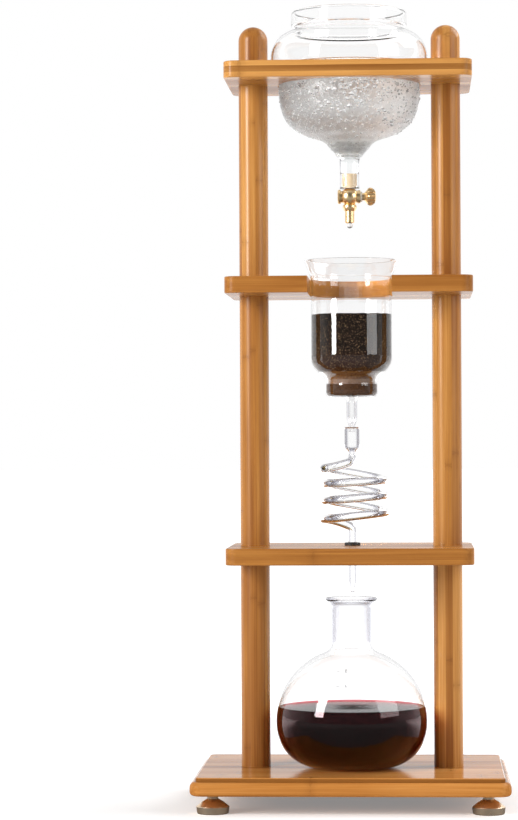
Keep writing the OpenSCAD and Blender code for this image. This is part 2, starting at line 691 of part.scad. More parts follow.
module cooling_coil() color("lightcyan", 0.4) {
  neck = cup_neck_d / 2;
  tube = coil_tube_d / 2;
  in_tilt = tilt(end_r, coil_run_in_drop);
  out_tilt = tilt(end_r, coil_run_out_drop);
  // Cup and neck
  translate([drip_x, 0, 0]) rotate([0, 0, -in_tilt]) vessel(concat(
    [[cup_d / 2, cup_top], [cup_d / 2, cup_top - cup_l]],
    smooth([[cup_d / 2 - 0.6, cup_top - cup_l - 1.6], [neck + 1.6, cup_neck_z + 2], [neck, cup_neck_z]]),
    [[tube, coil_in_z + 0.6], [tube, coil_in_z]]), coil_wall);
  // The bend out of the cup towards the front, and the first half turn
  translate([drip_x, -coil_bend_r, coil_in_z]) rotate([0, 90, 0]) bend(tube_step, 90 + in_tilt);
  translate([end_x, -coil_bend_r, coil_start_z - coil_run_in_drop / 2]) front_turn(end_r, coil_run_in_drop, 0);
  translate([coil_left_x, -coil_bend_r, left_z(0)]) straight_back(coil_bend_r, tube_step, 180 - in_tilt);
  // The turns
  for (i = [0:coil_turns - 1]) {
    translate([coil_x, 0, (left_z(i) + right_z(i)) / 2]) back_turn(coil_r, coil_back_drop, 0);
    translate([coil_x, 0, (right_z(i) + left_z(i + 1)) / 2]) front_turn(coil_r, right_z(i) - left_z(i + 1), tube_step);
  }
  // The last half turn, the bend down and the drip tube
  translate([coil_left_x, 0, left_z(coil_turns)]) straight_back(coil_bend_r, 0, 180 + out_tilt);
  translate([end_x, coil_bend_r, left_z(coil_turns) - coil_run_out_drop / 2])
    back_turn(end_r, coil_run_out_drop, tube_step);
  translate([drip_x, coil_bend_r, drip_top]) rotate([0, -90, 0]) rotate([0, 0, -90]) bend(0, -90 - out_tilt);
  translate([drip_x, 0, drip_tip + drip_tip_l])
    linear_extrude(drip_top - drip_tip - drip_tip_l) tube_section(tube_step, out_tilt);
  translate([drip_x, 0, 0]) rotate([0, 0, out_tilt]) turned([
    [tube, drip_tip + drip_tip_l], [drip_tip_d / 2, drip_tip],
    [drip_tip_d / 2 - coil_wall, drip_tip], [tube - coil_wall, drip_tip + drip_tip_l]]);
}

// The tube's middle line, for measuring how near it comes to itself
function turn_points(cx, cy, r, from, to, z0, z1) =
  [for (k = [0:23]) let (a = from + (to - from) * k / 24, f = abs(cos(from) - cos(a)) / 2)
    [cx + r * cos(a), cy + r * sin(a), z0 + (z1 - z0) * f]];
coil_line = concat(
  turn_points(end_x, -coil_bend_r, end_r, 360, 180, coil_start_z, left_z(0)),
  [for (i = [0:coil_turns - 1]) each concat(
    turn_points(coil_x, 0, coil_r, 180, 0, left_z(i), right_z(i)),
    turn_points(coil_x, 0, coil_r, 360, 180, right_z(i), left_z(i + 1)))],
  turn_points(end_x, coil_bend_r, end_r, 180, 0, left_z(coil_turns), coil_end_z),
  [for (k = [0:6]) [drip_x, 0, drip_top - 4 * k]]);
// Points nearer than a third of a turn along the tube are the tube itself
least_gap = min([for (i = [0:len(coil_line) - 1]) for (k = [i + 16:1:len(coil_line) - 1])
  norm(coil_line[i] - coil_line[k])]) - coil_tube_d;
echo(coil_least_gap_to_itself = least_gap);

module tube_grommet() color("dimgray") translate([drip_x, 0, coil_shelf_z]) difference() {
  union() {
    cylinder(h = shelf_t + over, d = grommet_body_d);
    translate([0, 0, shelf_t]) turned([
      [0, grommet_h], [grommet_d / 2 - 0.6, grommet_h], [grommet_d / 2, grommet_h - 0.6], [grommet_d / 2, 0], [0, 0]]);
  }
  translate([0, 0, -over]) cylinder(h = shelf_t + grommet_h + 2 * over, d = grommet_bore_d);
}

// ---- flask ----

flask_z = base_top + seat_gap;
flask_lip_h = 4.2;

// The flask's outer outline, from its lip to the middle of its floor
function flask_outline() =
  let (body = flask_d / 2, neck = flask_neck_d / 2, lip = flask_lip_d / 2, foot = flask_foot_d / 2,
       waist = flask_z + flask_waist_h, up = flask_d / 2 - 2.5,
       neck_end = waist + up * sin(acos((neck + 5) / body)))
    concat(
      smooth([[lip - 0.4, flask_top], [lip, flask_top - 1.4], [lip - 0.5, flask_top - 3], [neck + 1.4, flask_top - flask_lip_h - 1.6],
              [neck, flask_top - flask_lip_h - 4.6], [neck, flask_top - flask_lip_h - 9]]),
      [[neck, neck_end + 9], [neck + 0.7, neck_end + 5], [neck + 2.4, neck_end + 1.8]],
      [for (k = [1:14]) let (a = acos((neck + 5) / body) * (1 - k / 14)) [body * cos(a), waist + up * sin(a)]],
      [for (k = [1:13]) let (a = 90 * k / 14) [foot + (body - foot) * pow(cos(a), 0.88), waist - flask_waist_h * pow(sin(a), 0.95)]],
      [[foot, flask_z], [foot - 4, flask_z], [foot - 6, flask_z + 0.8], [0, flask_z + 1.6]]);

module serving_flask() color("lightcyan", 0.4) translate([0, -flask_forward, 0])
  vessel(flask_outline(), glass_wall);

module brewed_coffee() color("maroon") translate([0, -flask_forward, 0])
  turned(concat([[0, flask_z + coffee_level], [radius_at(in_flask, flask_z + coffee_level), flask_z + coffee_level]],
    [for (q = in_flask) if (q[1] < flask_z + coffee_level) q]));

in_flask = inset(flask_outline(), glass_wall + fill_gap);

// ---- the nodes ----

base_board();
coil_shelf();
beaker_shelf();
jar_shelf();
post_piece(-post_x, base_top, post_lower_l);  // left_post_lower
post_piece(-post_x, coil_shelf_top, post_middle_l);  // left_post_middle
post_piece(-post_x, beaker_shelf_top, post_upper_l);  // left_post_upper
finial(-post_x);  // left_finial
post_piece(post_x, base_top, post_lower_l);  // right_post_lower
post_piece(post_x, coil_shelf_top, post_middle_l);  // right_post_middle
post_piece(post_x, beaker_shelf_top, post_upper_l);  // right_post_upper
finial(post_x);  // right_finial
joint_studs();
thread_inserts();
base_bolts();
base_washers();
foot_bushes();
tube_grommet();
foot(-foot_x, -foot_y);  // foot_front_left
foot(foot_x, -foot_y);  // foot_front_right
foot(-foot_x, foot_y);  // foot_back_left
foot(foot_x, foot_y);  // foot_back_right
water_jar();
water();
jar_stopper();
tap_body();
tap_cap();
tap_nozzle();
tap_plug();
tap_knob();
knob_washer();
plug_clip();
plug_seals();
brew_beaker();
filter_disc();
filter_gasket();
coffee_grounds();
cooling_coil();
serving_flask();
brewed_coffee();
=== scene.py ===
"""Looks of a cold drip coffee tower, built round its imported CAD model.

Everything is in metres, +Z up, with the front at -Y. Sizes in the classes are
millimetres, as on a maker's drawing, and MM turns them into metres.
"""

import logging
import math
import random
from collections.abc import Callable, Iterable
from dataclasses import dataclass, field
from enum import Enum

import bmesh
import bpy
from mathutils import Matrix, Vector, noise


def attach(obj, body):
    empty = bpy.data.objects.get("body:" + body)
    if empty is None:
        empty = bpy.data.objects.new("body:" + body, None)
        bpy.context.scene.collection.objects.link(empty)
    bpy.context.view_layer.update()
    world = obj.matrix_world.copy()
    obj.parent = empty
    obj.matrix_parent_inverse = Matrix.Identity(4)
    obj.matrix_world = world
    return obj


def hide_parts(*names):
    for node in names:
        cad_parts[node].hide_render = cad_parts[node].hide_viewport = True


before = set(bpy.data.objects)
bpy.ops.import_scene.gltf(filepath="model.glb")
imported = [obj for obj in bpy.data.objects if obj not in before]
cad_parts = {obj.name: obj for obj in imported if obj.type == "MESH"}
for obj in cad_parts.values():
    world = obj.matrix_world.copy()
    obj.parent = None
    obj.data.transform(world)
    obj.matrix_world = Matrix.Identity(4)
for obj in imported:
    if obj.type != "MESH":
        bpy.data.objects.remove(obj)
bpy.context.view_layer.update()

MM = 0.001
LOG = logging.getLogger("cold_drip_tower")

Point = tuple[float, float]
Outline = list[Point]
Colour = tuple[float, float, float]


# ---------------------------------------------------------------- outlines


def arc(cx: float, cy: float, r: float, start: float, end: float, count: int) -> Outline:
    """Points on an arc.

    Args:
        cx: Middle of the arc, outwards.
        cy: Middle of the arc, upwards.
        r: Radius.
        start: First angle in degrees.
        end: Last angle in degrees.
        count: Number of steps.

    Returns:
        The points from the first angle to the last.
    """
    angles = [math.radians(start + (end - start) * i / count) for i in range(count + 1)]
    return [(cx + r * math.cos(a), cy + r * math.sin(a)) for a in angles]


def smooth(points: list, steps: int = 8) -> list:
    """A smooth line through the given points, flat or in space.

    Args:
        points: Points that the line goes through.
        steps: Points from one given point to the next.

    Returns:
        The finer line, as tuples.
    """
    out = []
    last = len(points) - 1
    for i in range(last):
        a, b = Vector(points[max(i - 1, 0)]), Vector(points[i])
        c, d = Vector(points[i + 1]), Vector(points[min(i + 2, last)])
        for k in range(steps):
            t = k / steps
            p = 0.5 * (2 * b + (c - a) * t + (2 * a - 5 * b + 4 * c - d) * t * t + (3 * b - a - 3 * c + d) * t**3)
            out.append(tuple(p))
    return [*out, tuple(points[last])]


def inset(points: Outline, wall: float) -> Outline:
    """The same outline moved inwards by a wall.

    Args:
        points: Outline from the top down.
        wall: Distance to move.

    Returns:
        The moved outline, which never crosses the axis.
    """
    out: Outline = []
    for i, p in enumerate(points):
        d = Vector(points[min(i + 1, len(points) - 1)]) - Vector(points[max(i - 1, 0)])
        n = Vector((d.y, -d.x)).normalized() * wall
        out.append((max(0.0, p[0] + n.x), p[1] + n.y))
    return out


def radius_at(points: Outline, height: float) -> float:
    """Radius of an outline, given from the top down, at a height."""
    for (r0, z0), (r1, z1) in zip(points, points[1:], strict=False):
        if z1 <= height <= z0 and z0 > z1:
            return r1 + (r0 - r1) * (height - z1) / (z0 - z1)
    return points[-1][0]


def filling(points: Outline, low: float, high: float, steps: int = 24) -> Outline:
    """Outline of what fills a vessel between two heights.

    Args:
        points: The vessel's inner outline from the top down.
        low: Height of the filling's underside.
        high: Height of its top.
        steps: Points from the axis to the wall on top.

    Returns:
        The filling's outline from the top's middle to the bottom's middle.
    """
    rim = radius_at(points, high)
    top = [(rim * i / steps, high) for i in range(steps)]
    side = [p for p in points if low < p[1] < high]
    return [*top, (rim, high), *side, (radius_at(points, low), low), (0.0, low)]


# ---------------------------------------------------------------- meshes


def finish_mesh(name: str, bm: bmesh.types.BMesh, smooth_faces: bool = True) -> bpy.types.Object:
    """Turns a bmesh into an object of the scene at the origin."""
    mesh = bpy.data.meshes.new(name)
    bm.to_mesh(mesh)
    bm.free()
    for polygon in mesh.polygons:
        polygon.use_smooth = smooth_faces
    made = bpy.data.objects.new(name, mesh)
    bpy.context.scene.collection.objects.link(made)
    return made


def lathe(name: str, outline: Outline, centre: Point = (0.0, 0.0), steps: int = 128,
          shape: Callable[[Vector], Vector] | None = None) -> bpy.types.Object:
    """Spins an outline round a vertical axis.

    Args:
        name: Name of the piece.
        outline: Radius and height in millimetres. One that stays off the axis is closed on itself.
        centre: Place of the axis in millimetres.
        steps: Segments of the full turn.
        shape: Moves each point of the closed mesh, in metres.

    Returns:
        The closed piece.
    """
    bm = bmesh.new()
    verts = [bm.verts.new((r * MM, 0.0, z * MM)) for r, z in outline]
    edges = [bm.edges.new(pair) for pair in zip(verts, verts[1:], strict=False)]
    if outline[0][0] > 0 and outline[-1][0] > 0:
        edges.append(bm.edges.new((verts[-1], verts[0])))
    bmesh.ops.spin(bm, geom=[*verts, *edges], cent=(0, 0, 0), axis=(0, 0, 1), angle=math.tau, steps=steps,
                   use_merge=True)
    bmesh.ops.remove_doubles(bm, verts=bm.verts, dist=1e-7)
    bmesh.ops.dissolve_degenerate(bm, edges=bm.edges, dist=1e-7)
    bmesh.ops.translate(bm, verts=bm.verts, vec=(centre[0] * MM, centre[1] * MM, 0.0))
    if shape:
        for v in bm.verts:
            v.co = shape(v.co)
    bmesh.ops.recalc_face_normals(bm, faces=bm.faces)
    return finish_mesh(name, bm)


def swept_tube(name: str, path: list[tuple[Vector, float]], sides: int = 24, wall: float = 0.0) -> bpy.types.Object:
    """A round tube along a path.

    Args:
        name: Name of the piece.
        path: Points and radii in millimetres.
        sides: Segments round the tube.
        wall: Thickness of a hollow tube's wall, or 0 for a solid rod, whose ends are closed.

    Returns:
        The piece.
    """
    curve = bpy.data.curves.new(name + "_line", "CURVE")
    curve.dimensions = "3D"
    curve.twist_mode = "MINIMUM"
    curve.bevel_depth = MM
    curve.bevel_resolution = sides // 4 - 1
    curve.use_fill_caps = not wall
    spline = curve.splines.new("POLY")
    spline.points.add(len(path) - 1)
    for target, (place, radius) in zip(spline.points, path, strict=True):
        target.co = (*(place * MM), 1.0)
        target.radius = radius
    line = bpy.data.objects.new(name + "_line", curve)
    bpy.context.scene.collection.objects.link(line)
    mesh = bpy.data.meshes.new_from_object(line.evaluated_get(bpy.context.evaluated_depsgraph_get()))
    bpy.data.objects.remove(line)
    bm = bmesh.new()
    bm.from_mesh(mesh)
    bpy.data.meshes.remove(mesh)
    bmesh.ops.remove_doubles(bm, verts=bm.verts, dist=1e-7)
    bmesh.ops.recalc_face_normals(bm, faces=bm.faces)
    if wall:
        bmesh.ops.solidify(bm, geom=bm.faces, thickness=-wall * MM)
    return finish_mesh(name, bm)


# ---------------------------------------------------------------- shader trees


class Bench:
    """Adds and joins the nodes of one shader tree."""

    def __init__(self, tree: bpy.types.NodeTree) -> None:
        """Starts on a tree."""
        self.tree = tree

    def put(self, socket: bpy.types.NodeSocket, value: object) -> None:
        """Joins a socket to another, or sets its value."""
        if isinstance(value, bpy.types.NodeSocket):
            self.tree.links.new(value, socket)
        elif isinstance(value, tuple) and len(value) == 3 and socket.type == "RGBA":
            socket.default_value = (*value, 1.0)
        else:
            socket.default_value = value

    def add(self, kind: str, inputs: dict[str | int, object] | None = None, **settings: object) -> bpy.types.Node:
        """Adds a node.

        Args:
            kind: The node's type, without its ShaderNode prefix.
            inputs: Values or sockets, by the input's name or number.
            **settings: The node's own settings.

        Returns:
            The node.
        """
        made = self.tree.nodes.new("ShaderNode" + kind)
        for name, value in settings.items():
            setattr(made, name, value)
        for name, value in (inputs or {}).items():
            self.put(made.inputs[name], value)
        return made

    def maths(self, operation: str, *values: object, clamp: bool = False) -> bpy.types.NodeSocket:
        """Output of a Math node."""
        return self.add("Math", dict(enumerate(values)), operation=operation, use_clamp=clamp).outputs[0]

    def span(self, value: object, low: object, high: object, to_low: object = 0.0,
             to_high: object = 1.0) -> bpy.types.NodeSocket:
        """Output of a smooth Map Range node."""
        return self.add("MapRange", {0: value, 1: low, 2: high, 3: to_low, 4: to_high},
                        interpolation_type="SMOOTHSTEP").outputs[0]

    def blend(self, share: object, first: object, second: object, way: str = "MIX") -> bpy.types.NodeSocket:
        """Output of a Mix node for colours."""
        made = self.add("Mix", data_type="RGBA", blend_type=way)
        for number, value in ((0, share), (6, first), (7, second)):
            self.put(made.inputs[number], value)
        return made.outputs[2]

    def ramp(self, value: object, stops: Iterable[tuple[float, Colour]]) -> bpy.types.NodeSocket:
        """Output of a Color Ramp node."""
        made = self.add("ValToRGB", {0: value})
        stops = list(stops)
        elements = made.color_ramp.elements
        while len(elements) < len(stops):
            elements.new(0.5)
        for element, (place, colour) in zip(elements, stops, strict=True):
            element.position = place
            element.color = (*colour, 1.0)
        return made.outputs[0]

    def stretched(self, source: object, size: tuple[float, float, float], scale: float, detail: float = 2.0,
                  rough: float = 0.5) -> bpy.types.NodeSocket:
        """Value of a noise whose pattern is stretched along the axes."""
        spread = self.add("VectorMath", {0: source, 1: size}, operation="MULTIPLY").outputs[0]
        return self.add("TexNoise", {"Vector": spread, "Scale": scale, "Detail": detail, "Roughness": rough}).outputs[0]

    def bump(self, height: object, depth: float) -> bpy.types.NodeSocket:
        """Normal of a Bump node, with its depth in metres."""
        return self.add("Bump", {"Height": height, "Distance": depth, "Strength": 1.0}).outputs[0]


def new_group(name: str, inputs: dict[str, tuple[str, object]], outputs: dict[str, str]) -> tuple[Bench, bpy.types.Node,
                                                                                                 bpy.types.Node]:
    """Starts a node group.

    Args:
        name: The group's name.
        inputs: Kind and start value of each input.
        outputs: Kind of each output.

    Returns:
        The group's bench, its input node and its output node.
    """
    tree = bpy.data.node_groups.new(name, "ShaderNodeTree")
    for label, (kind, value) in inputs.items():
        made = tree.interface.new_socket(name=label, in_out="INPUT", socket_type="NodeSocket" + kind)
        if value is not None:
            made.default_value = value
    for label, kind in outputs.items():
        tree.interface.new_socket(name=label, in_out="OUTPUT", socket_type="NodeSocket" + kind)
    bench = Bench(tree)
    return bench, tree.nodes.new("NodeGroupInput"), tree.nodes.new("NodeGroupOutput")


def bamboo_group() -> bpy.types.NodeTree:
    """Strips, fibres and node marks of laminated bamboo, with the fibres along the vector's Z."""
    bench, source, out = new_group(
        "bamboo_grain",
        {"Vector": ("Vector", None), "Strip Width": ("Float", 0.02), "Mark Spacing": ("Float", 0.26),
         "Strip Contrast": ("Float", 0.5), "Fibre Contrast": ("Float", 0.5), "Seed": ("Float", 0.0)},
        {"Tone": "Float", "Mark": "Float", "Height": "Float"})
    vector = source.outputs["Vector"]
    parts = bench.add("SeparateXYZ", {0: vector})
    strip = bench.maths("FLOOR", bench.maths("DIVIDE", parts.outputs[0], source.outputs["Strip Width"]))
    key = bench.add("CombineXYZ", {0: strip, 1: source.outputs["Seed"], 2: 0.37}).outputs[0]
    chance = bench.add("TexWhiteNoise", {"Vector": key}, noise_dimensions="3D")
    shift = bench.add("VectorMath", {0: chance.outputs["Color"], 1: (0.7, 0.9, 3.1)}, operation="MULTIPLY").outputs[0]
    moved = bench.add("VectorMath", {0: vector, 1: shift}, operation="ADD").outputs[0]
    fibre = bench.stretched(moved, (1.0, 1.0, 0.012), 900.0, 3.0, 0.6)
    streak = bench.stretched(moved, (1.0, 1.0, 0.02), 230.0, 2.0)
    cloud = bench.stretched(moved, (1.0, 1.0, 0.16), 34.0, 2.0)
    wave = bench.stretched(moved, (1.0, 1.0, 0.3), 160.0, 2.0)
    along = bench.maths("ADD", bench.maths("DIVIDE", parts.outputs[2], source.outputs["Mark Spacing"]),
                        bench.maths("MULTIPLY", chance.outputs["Value"], 9.7))
    away = bench.maths("MULTIPLY", bench.maths("ABSOLUTE", bench.maths("SUBTRACT", bench.maths("FRACT", along), 0.5)),
                       source.outputs["Mark Spacing"])
    away = bench.maths("ADD", away, bench.maths("MULTIPLY", bench.maths("SUBTRACT", wave, 0.5), 0.009))
    line = bench.span(bench.maths("ABSOLUTE", away), 0.0004, 0.0022, 1.0, 0.0)
    halo = bench.span(bench.maths("ABSOLUTE", away), 0.001, 0.009, 0.45, 0.0)
    mark = bench.maths("MAXIMUM", line, halo)
    tone = bench.maths("MULTIPLY", bench.maths("SUBTRACT", chance.outputs["Value"], 0.5),
                       source.outputs["Strip Contrast"])
    grain = bench.maths("ADD", bench.maths("SUBTRACT", fibre, 0.5), bench.maths("SUBTRACT", streak, 0.5))
    tone = bench.maths("ADD", tone, bench.maths("MULTIPLY", grain, source.outputs["Fibre Contrast"]))
    tone = bench.maths("ADD", tone, bench.maths("MULTIPLY", bench.maths("SUBTRACT", cloud, 0.5), 0.55))
    bench.put(out.inputs["Tone"], bench.maths("ADD", tone, 0.5, clamp=True))
    bench.put(out.inputs["Mark"], mark)
    bench.put(out.inputs["Height"], bench.maths("ADD", bench.maths("MULTIPLY", fibre, 0.6), mark))
    return bench.tree


def speckle_group() -> bpy.types.NodeTree:
    """Two sizes of specks and a slow cloud, for grounds, ceramic and turned metal."""
    bench, source, out = new_group(
        "speckle",
        {"Vector": ("Vector", None), "Size": ("Float", 0.001), "Contrast": ("Float", 1.0)},
        {"Speck": "Float", "Cloud": "Float", "Height": "Float"})
    scale = bench.maths("DIVIDE", 1.0, source.outputs["Size"])
    cells = bench.add("TexVoronoi", {"Vector": source.outputs["Vector"], "Scale": scale})
    grit = bench.add("TexNoise", {"Vector": source.outputs["Vector"], "Scale": scale, "Detail": 3.0})
    cloud = bench.add("TexNoise", {"Vector": source.outputs["Vector"],
                                   "Scale": bench.maths("MULTIPLY", scale, 0.08), "Detail": 2.0})
    chance = bench.add("SeparateColor", {0: cells.outputs["Color"]}).outputs[0]
    speck = bench.maths("MULTIPLY", bench.maths("MULTIPLY", chance, bench.span(grit.outputs[0], 0.35, 0.7)),
                        source.outputs["Contrast"])
    bench.put(out.inputs["Speck"], speck)
    bench.put(out.inputs["Cloud"], cloud.outputs[0])
    bench.put(out.inputs["Height"], bench.maths("SUBTRACT", grit.outputs[0], cells.outputs["Distance"]))
    return bench.tree


def droplet_group() -> bpy.types.NodeTree:
    """Condensed drops of two sizes, with a fine mist between them in the height."""
    bench, source, out = new_group(
        "condensed_drops",
        {"Vector": ("Vector", None), "Drop Size": ("Float", 0.004), "Cover": ("Float", 0.5)},
        {"Drops": "Float", "Height": "Float"})
    vector = source.outputs["Vector"]
    wobble = bench.add("TexNoise", {"Vector": vector, "Scale": 180.0, "Detail": 2.0}).outputs["Color"]
    push = bench.add("VectorMath", {0: bench.add("VectorMath", {0: wobble, 1: (0.5, 0.5, 0.5)},
                                                 operation="SUBTRACT").outputs[0], 1: (0.006, 0.006, 0.003)},
                     operation="MULTIPLY").outputs[0]
    moved = bench.add("VectorMath", {0: vector, 1: push}, operation="ADD").outputs[0]
    flat = bench.add("VectorMath", {0: moved, 1: (0.75, 0.75, 1.25)}, operation="MULTIPLY").outputs[0]
    drops = []
    for size, share in ((1.0, 0.55), (0.42, 0.8)):
        scale = bench.maths("DIVIDE", 1.0, bench.maths("MULTIPLY", source.outputs["Drop Size"], size))
        cells = bench.add("TexVoronoi", {"Vector": flat, "Scale": scale, "Randomness": 0.9})
        chance = bench.add("SeparateColor", {0: cells.outputs["Color"]}).outputs[1]
        there = bench.span(bench.maths("SUBTRACT", chance, bench.maths("MULTIPLY", source.outputs["Cover"], share)),
                           -0.05, 0.05, 1.0, 0.0)
        drops.append(bench.maths("MULTIPLY", bench.span(cells.outputs["Distance"], 0.12, 0.5, 1.0, 0.0), there))
    both = bench.maths("MAXIMUM", drops[0], bench.maths("MULTIPLY", drops[1], 0.6))
    mist = bench.add("TexNoise", {"Vector": vector, "Scale": 1400.0, "Detail": 2.0}).outputs[0]
    bench.put(out.inputs["Drops"], both)
    bench.put(out.inputs["Height"], bench.maths("ADD", both, bench.maths("MULTIPLY", mist, 0.06)))
    return bench.tree


class Effects:
    """The node groups that several finishes share."""

    def __init__(self) -> None:
        """Builds each group once."""
        self.bamboo = bamboo_group()
        self.speckle = speckle_group()
        self.drops = droplet_group()


# ---------------------------------------------------------------- finishes


@dataclass(frozen=True)
class Finish:
    """What every finish has: its name and its shine."""

    name: str
    rough: float = 0.4

    def start(self) -> tuple[bpy.types.Material, Bench, bpy.types.NodeSocket]:
        """A new material with an empty tree, its bench and the Object coordinates."""
        material = bpy.data.materials.new(self.name)
        material.use_nodes = True
        material.node_tree.nodes.clear()
        bench = Bench(material.node_tree)
        return material, bench, bench.add("TexCoord").outputs["Object"]

    def close(self, bench: Bench, shader: bpy.types.NodeSocket) -> None:
        """Joins the finished shader to the material's output."""
        bench.add("OutputMaterial", {"Surface": shader})

    def group(self, bench: Bench, tree: bpy.types.NodeTree, inputs: dict[str, object]) -> bpy.types.Node:
        """Places a shared effect in the material."""
        made = bench.add("Group")
        made.node_tree = tree
        for label, value in inputs.items():
            bench.put(made.inputs[label], value)
        return made


class Grain(Enum):
    """Which way the bamboo's fibres run."""

    UP = ("X", "Y", "Z")
    ACROSS = ("Y", "Z", "X")


@dataclass(frozen=True)
class Bamboo(Finish):
    """Varnished laminated bamboo, with a darker middle ply between the heights in plies, and a darker brown band of
    painted shade between the heights in painted_shade_band.
    """

    grain: Grain = Grain.UP
    strip: float = 7.0
    dark: Colour = (0.27, 0.095, 0.018)
    middle: Colour = (0.41, 0.170, 0.037)
    light: Colour = (0.58, 0.280, 0.078)
    plies: tuple[float, float] | None = None
    ply_shade: float = 0.55
    seam: float = 0.25
    glue: float = 0.35
    painted_shade_band: tuple[float, float] | None = None
    seed: float = 0.0
    ior: float = 1.33
    marks: float = 0.35

    def make(self, effects: Effects) -> bpy.types.Material:
        """Builds the material."""
        material, bench, place = self.start()
        parts = bench.add("SeparateXYZ", {0: place})
        order = ["XYZ".index(axis) for axis in self.grain.value]
        turned = bench.add("CombineXYZ", {i: parts.outputs[axis] for i, axis in enumerate(order)}).outputs[0]
        wood = self.group(bench, effects.bamboo, {"Vector": turned, "Strip Width": self.strip * MM, "Seed": self.seed,
                                                  "Strip Contrast": 0.55, "Fibre Contrast": 0.6})
        colour = bench.ramp(wood.outputs["Tone"], [(0.12, self.dark), (0.5, self.middle), (0.88, self.light)])
        if self.plies:
            bottom, thickness = self.plies
            third = thickness / 3
            level = bench.maths("SUBTRACT", parts.outputs[2], (bottom + thickness / 2) * MM)
            away = bench.maths("ABSOLUTE", level)
            inner = bench.span(away, (third / 2 - self.seam) * MM, (third / 2 + self.seam) * MM, 1.0, 0.0)
            glue = bench.span(bench.maths("ABSOLUTE", bench.maths("SUBTRACT", away, third / 2 * MM)), 0.0,
                              self.glue * MM, 0.5, 0.0)
            ply = bench.stretched(turned, (1.0, 1.0, 0.05), 70.0)
            shade = bench.maths("MULTIPLY", inner, bench.span(ply, 0.25, 0.75, 0.35, 1.0))
            colour = bench.blend(bench.maths("MULTIPLY", shade, self.ply_shade), colour, (0.17, 0.052, 0.008))
            colour = bench.blend(bench.maths("MULTIPLY", glue, self.ply_shade), colour, (0.16, 0.055, 0.012))
        # Painted shade: a darker brown band on the base's moulding step, whose face lies in shade under the top's edge.
        if self.painted_shade_band:
            low, high = (z * MM for z in self.painted_shade_band)
            into = bench.maths("MULTIPLY", bench.span(parts.outputs[2], low - 0.0005, low),
                               bench.span(parts.outputs[2], high, high + 0.0006, 1.0, 0.0))
            colour = bench.blend(bench.maths("MULTIPLY", into, 0.8), colour, (0.20, 0.070, 0.012))
        colour = bench.blend(bench.maths("MULTIPLY", wood.outputs["Mark"], self.marks), colour, (0.16, 0.055, 0.012))
        gloss = bench.span(wood.outputs["Tone"], 0.0, 1.0, self.rough + 0.06, self.rough - 0.05)
        shader = bench.add("BsdfPrincipled", {
            "Base Color": colour, "Roughness": gloss, "IOR": self.ior,
            "Normal": bench.bump(wood.outputs["Height"], 0.00006)})
        self.close(bench, shader.outputs[0])
        return material


@dataclass(frozen=True)
class Brass(Finish):
    """Polished turned brass with fine tool lines and a little tarnish."""

    rough: float = 0.16
    tint: Colour = (0.87, 0.60, 0.27)
    shade: Colour = (0.60, 0.33, 0.10)

    def make(self, effects: Effects) -> bpy.types.Material:
        """Builds the material."""
        material, bench, place = self.start()
        film = self.group(bench, effects.speckle, {"Vector": place, "Size": 0.0012})
        lines = bench.stretched(place, (1.0, 1.0, 1.0), 900.0)
        colour = bench.blend(bench.span(film.outputs["Cloud"], 0.3, 0.8), self.tint, self.shade)
        shader = bench.add("BsdfPrincipled", {
            "Base Color": colour, "Metallic": 1.0,
            "Roughness": bench.span(film.outputs["Cloud"], 0.25, 0.85, self.rough, self.rough + 0.14),
            "Normal": bench.bump(lines, 0.000015)})
        self.close(bench, shader.outputs[0])
        return material


@dataclass(frozen=True)
class Steel(Finish):
    """Zinc plated steel with a faint brushed direction."""

    rough: float = 0.32

    def make(self, effects: Effects) -> bpy.types.Material:
        """Builds the material."""
        material, bench, place = self.start()
        film = self.group(bench, effects.speckle, {"Vector": place, "Size": 0.002})
        brushed = bench.stretched(place, (1.0, 1.0, 0.05), 1500.0)
        shader = bench.add("BsdfPrincipled", {
            "Base Color": bench.blend(film.outputs["Cloud"], (0.62, 0.62, 0.60), (0.50, 0.50, 0.49)), "Metallic": 1.0,
            "Roughness": bench.span(brushed, 0.2, 0.8, self.rough - 0.06, self.rough + 0.1),
            "Normal": bench.bump(brushed, 0.00002)})
        self.close(bench, shader.outputs[0])
        return material


@dataclass(frozen=True)
class Soft(Finish):
    """Rubber, silicone, plastic or ceramic: a fine speckled solid colour."""

    tint: Colour = (0.5, 0.5, 0.5)
    speck: Colour = (0.4, 0.4, 0.4)
    grit: float = 0.0008
    depth: float = 0.00003
    ior: float = 1.45

    def make(self, effects: Effects) -> bpy.types.Material:
        """Builds the material."""
        material, bench, place = self.start()
        skin = self.group(bench, effects.speckle, {"Vector": place, "Size": self.grit, "Contrast": 0.8})
        colour = bench.blend(skin.outputs["Speck"], self.tint, self.speck)
        colour = bench.blend(bench.maths("MULTIPLY", skin.outputs["Cloud"], 0.35), colour, self.speck)
        shader = bench.add("BsdfPrincipled", {
            "Base Color": colour, "IOR": self.ior,
            "Roughness": bench.span(skin.outputs["Cloud"], 0.2, 0.8, self.rough, self.rough + 0.15),
            "Normal": bench.bump(skin.outputs["Height"], self.depth)})
        self.close(bench, shader.outputs[0])
        return material


